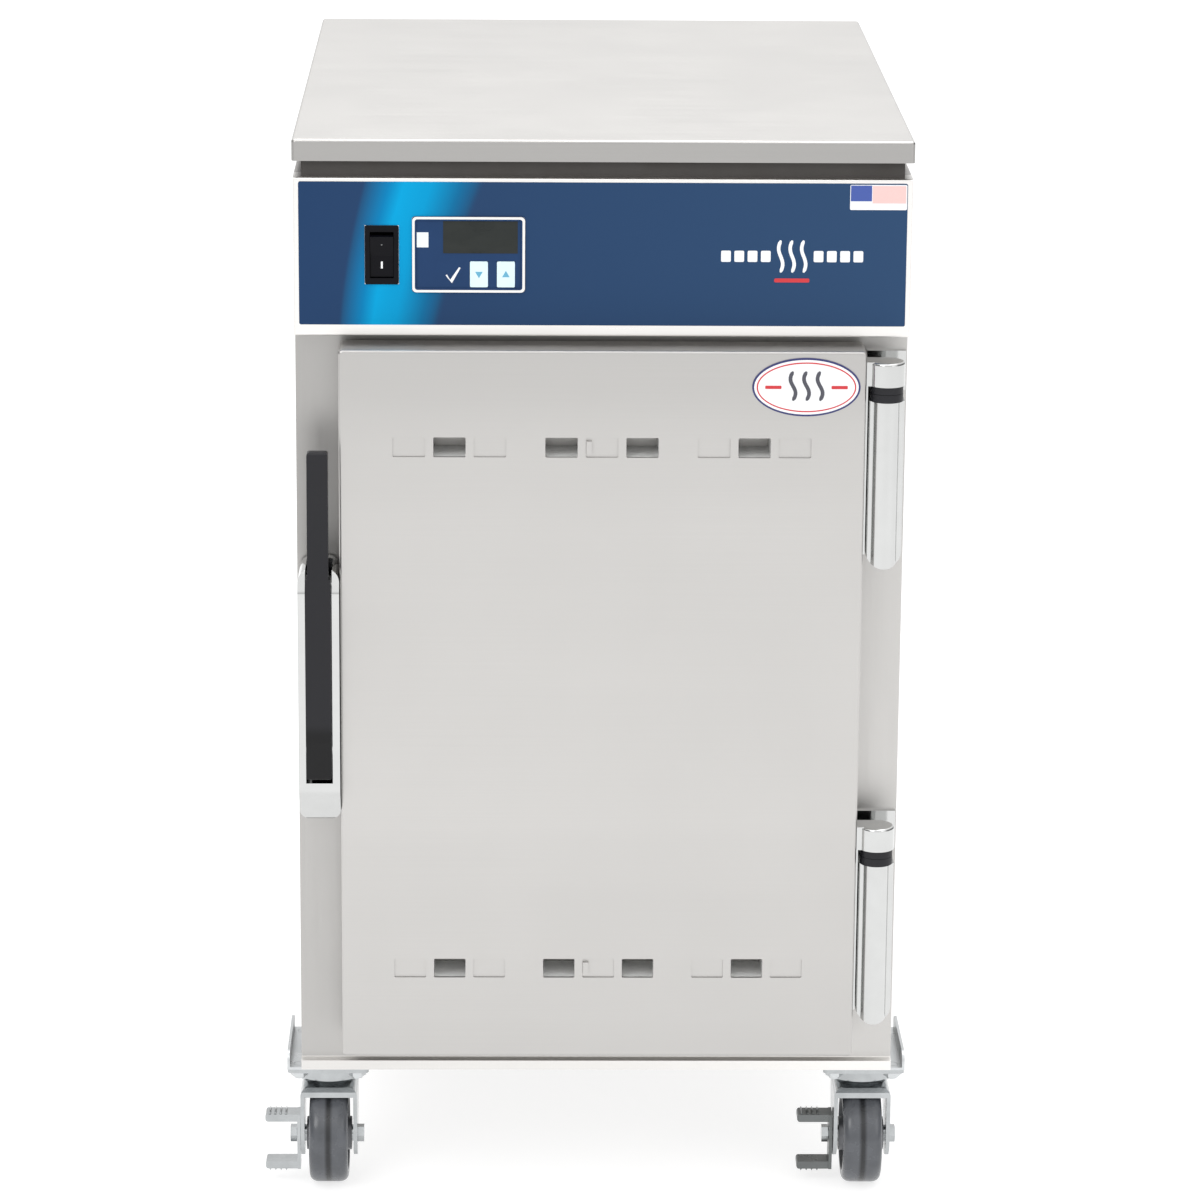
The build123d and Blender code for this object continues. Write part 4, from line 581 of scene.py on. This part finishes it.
add("badge_dashes", slab("badge_dashes", dashes, badge_face, 3 * LAYER), red_ink, "door")

# The rocker's bar and dot, for on and off.
rocker_low, rocker_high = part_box("power_rocker")
rocker_x = (rocker_low.x + rocker_high.x) / 2
_, pivot_y, pivot_z = next(j["pos_m"] for j in frame["joints"] if j["name"] == "power_switch")
crease_y = pivot_y - 0.0045


def rocker_print(name, outline, low_end, high_end):
    """Thin print, drawn about (0, 0), on the rocker's face between two (y, z) points."""
    mesh = slab(name, [outline], -PRINT_PROUD, PRINT_THICK)
    lean = math.atan2(high_end[0] - low_end[0], high_end[1] - low_end[1])
    middle = (rocker_x, (low_end[0] + high_end[0]) / 2, (low_end[1] + high_end[1]) / 2)
    mesh.transform(Matrix.Translation(middle) @ Matrix.Rotation(-lean, 4, "X"))
    add(name, mesh, white_ink, "power_rocker")


rocker_print("rocker_bar", rectangle(-0.0007, 0.0007, -0.0026, 0.0026),
             (crease_y, rocker_low.z + 0.001), (crease_y, pivot_z))
rocker_print("rocker_dot", ellipse(0, 0, 0.0015, 0.0015, 24), (crease_y, pivot_z),
             (rocker_low.y, rocker_high.z - 0.0015))

# Module: bright rim, tick mark, arrows on the keys.
module_low, module_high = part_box("module_housing")
rim_y = module_low.y - 0.0003
rim = 0.0018
outer = rectangle(module_low.x, module_high.x, module_low.z, module_high.z, 0.003)
inner = rectangle(module_low.x + rim, module_high.x - rim, module_low.z + rim, module_high.z - rim,
                  0.002)


def ring(name, outer_line, inner_line, y, thickness):
    """Flat ring between two outlines with the same number of points."""
    form = bmesh.new()
    loops = [[form.verts.new((x, depth, z)) for x, z in line]
             for line in (outer_line, inner_line) for depth in (y, y + thickness)]
    count = len(outer_line)
    for i in range(count):
        j = (i + 1) % count
        a, b, c, d = (loop[i] for loop in loops)
        e, f, g, h = (loop[j] for loop in loops)
        form.faces.new((a, c, g, e))
        form.faces.new((f, h, d, b))
        form.faces.new((b, a, e, f))
        form.faces.new((c, d, h, g))
    bmesh.ops.recalc_face_normals(form, faces=form.faces)
    mesh = bpy.data.meshes.new(name)
    form.to_mesh(mesh)
    form.free()
    smooth(mesh)
    return mesh


# The module's rim takes the bezel's lightened steel, which is painted light.
add("module_rim", ring("module_rim", outer, inner, rim_y, 0.0003), bezel_steel_painted_light, "cabinet")
tick_x, tick_z = module_low.x + 0.0295, module_low.z + 0.0125
tick = stroke([(tick_x - 0.0045, tick_z + 0.0005), (tick_x - 0.001, tick_z - 0.0045),
               (tick_x + 0.0055, tick_z + 0.006)], 0.0028)
add("module_tick", slab("module_tick", [tick], module_low.y + 0.0008, 0.0004), white_ink,
    "cabinet")
for key, up in (("key_up", 1), ("key_down", -1)):
    low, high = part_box(key)
    kx, kz = (low.x + high.x) / 2, (low.z + high.z) / 2
    arrow = [(kx - 0.0028, kz - up * 0.002), (kx + 0.0028, kz - up * 0.002), (kx, kz + up * 0.0028)]
    add(f"{key}_arrow", slab(f"{key}_arrow", [arrow], low.y - LAYER, PRINT_THICK),
        print_material(f"{key}_blue", srgb(96, 170, 200)), key)


# Teeth on the brake toes, which a shoe grips.
for side in ("left", "right"):
    low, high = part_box(f"brake_lever_{side}")
    teeth = []
    for i in range(4):
        tooth = low.x + 0.0025 + i * 0.0042
        teeth.append([(tooth, low.z + 0.0003), (tooth + 0.0011, low.z - 0.0019),
                      (tooth + 0.0022, low.z + 0.0003)])
        teeth.append([(tooth, high.z - 0.0003), (tooth + 0.0022, high.z - 0.0003),
                      (tooth + 0.0011, high.z + 0.0019)])
    depth = high.y - low.y - 0.008
    mesh = slab(f"brake_teeth_{side}", teeth, (low.y + high.y - depth) / 2, depth)
    # The right lever's teeth take the zinc's darker copy, which is painted shade.
    add(f"brake_teeth_{side}", mesh, zinc if side == "left" else zinc_painted_shade, f"brake_{side}")


def screw_heads(name, spots, face_y, material, body):
    """Domed screw heads with a shallow round recess at the middle, on a face that looks along +Y."""
    form = bmesh.new()
    steps, radius, rise = 20, 0.0038, 0.0017
    for x, z in spots:
        rings = []
        for share, out in ((1.0, 0.0), (0.96, 0.45), (0.72, 0.85), (0.42, 1.0)):
            turn = [2 * math.pi * i / steps for i in range(steps)]
            rings.append([form.verts.new((x + share * radius * math.cos(a), face_y + out * rise,
                                          z + share * radius * math.sin(a))) for a in turn])
        for near, far in zip(rings, rings[1:]):
            for i in range(steps):
                j = (i + 1) % steps
                form.faces.new((near[i], near[j], far[j], far[i]))
        hub = form.verts.new((x, face_y + rise * 0.35, z))
        inner = rings[-1]
        for i in range(steps):
            form.faces.new((inner[i], inner[(i + 1) % steps], hub))
        form.faces.new(rings[0][::-1])
    bmesh.ops.recalc_face_normals(form, faces=form.faces)
    mesh = bpy.data.meshes.new(name)
    form.to_mesh(mesh)
    form.free()
    smooth(mesh, 30)
    add(name, mesh, material, body)


back_low, back_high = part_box("outer_casing")
edge, gaps = 0.011, 5
rows = [back_low.z + edge + (back_high.z - back_low.z - 2 * edge) * i / gaps
        for i in range(gaps + 1)]
spots = [(x, z) for x in (back_low.x + edge, back_high.x - edge) for z in rows]
screw_heads("back_screws", spots, back_high.y, galvanised, "cabinet")


# --------------------------------------------------------------------------------- the studio
def studio():
    """Pale floor, soft room and three area lights."""
    scene = bpy.context.scene
    scene.view_settings.view_transform = "Standard"
    floor_mesh = bpy.data.meshes.new("floor")
    form = bmesh.new()
    reach = 12
    corners = [(-reach, -reach), (reach, -reach), (reach, reach), (-reach, reach)]
    form.faces.new([form.verts.new((x, y, 0)) for x, y in corners])
    form.to_mesh(floor_mesh)
    form.free()
    floor = bpy.data.objects.new("floor", floor_mesh)
    bpy.context.collection.objects.link(floor)
    paper = Shader("floor_paper", (0.42, 0.42, 0.42), roughness=1.0, Specular_IOR_Level=0.0,
                   Emission_Color=(1, 1, 1, 1), Emission_Strength=0.74)
    floor_mesh.materials.append(paper.material)

    # A room bright overhead, in front and behind, darker at both sides, for contrast in metal.
    world = bpy.data.worlds.new("studio")
    world.use_nodes = True
    scene.world = world
    tree = world.node_tree
    back = tree.nodes["Background"]
    back.inputs["Color"].default_value = (1, 1, 1, 1)
    where = tree.nodes.new("ShaderNodeTexCoord")
    split = tree.nodes.new("ShaderNodeSeparateXYZ")
    tree.links.new(where.outputs["Generated"], split.inputs[0])
    aside = tree.nodes.new("ShaderNodeMath")
    aside.operation = "ABSOLUTE"
    tree.links.new(split.outputs["X"], aside.inputs[0])
    total = tree.nodes.new("ShaderNodeMath")
    total.operation = "ADD"
    for slot, source, shape, bounds in (
        (0, aside.outputs[0], "SMOOTHSTEP", (0.45, 0.8, 0.85, 0.16)),
        (1, split.outputs["Z"], "LINEAR", (0.2, 0.75, 0.0, 0.5)),
    ):
        made = tree.nodes.new("ShaderNodeMapRange")
        made.interpolation_type = shape
        for key, value in zip(("From Min", "From Max", "To Min", "To Max"), bounds):
            made.inputs[key].default_value = value
        tree.links.new(source, made.inputs["Value"])
        tree.links.new(made.outputs["Result"], total.inputs[slot])
    # Seen directly, the room is plain white.
    seen = tree.nodes.new("ShaderNodeMix")
    tree.links.new(tree.nodes.new("ShaderNodeLightPath").outputs["Is Camera Ray"], seen.inputs[0])
    tree.links.new(total.outputs[0], seen.inputs[2])
    seen.inputs[3].default_value = 1.0
    tree.links.new(seen.outputs[0], back.inputs["Strength"])

    for name, spot, aim, size, power in (
        ("key", (-1.6, -2.6, 2.6), (0, 0, 0.45), 1.6, 26),
        ("fill", (2.2, -2.2, 1.6), (0, 0, 0.4), 1.8, 10),
        ("top", (0.2, 0.4, 3.0), (0, 0, 0.8), 2.0, 26),
    ):
        data = bpy.data.lights.new(name, "AREA")
        data.size = size
        data.energy = power
        lamp = bpy.data.objects.new(name, data)
        lamp.location = spot
        lamp.rotation_mode = "QUATERNION"
        lamp.rotation_quaternion = (Vector(aim) - Vector(spot)).to_track_quat("-Z", "Y")
        bpy.context.collection.objects.link(lamp)


def camera():
    """The photograph's viewpoint: 15 degrees down, almost square to the door."""
    yaw, pitch, roll = 0.0189, 0.2619, -0.0075
    ahead = Vector((math.sin(yaw) * math.cos(pitch), math.cos(yaw) * math.cos(pitch), -math.sin(pitch)))
    right = Vector((math.cos(yaw), -math.sin(yaw), 0))
    down = ahead.cross(right)
    side = math.cos(roll) * right + math.sin(roll) * down
    drop = math.cos(roll) * down - math.sin(roll) * right
    data = bpy.data.cameras.new("camera")
    data.lens = 146.13
    data.sensor_width = 36
    data.clip_end = 60
    made = bpy.data.objects.new("camera", data)
    place = Matrix((side, -drop, -ahead)).transposed().to_4x4()
    place.translation = (-0.0578, -3.8257, 1.4310)
    made.matrix_world = place
    bpy.context.collection.objects.link(made)
    bpy.context.scene.camera = made


studio()
camera()
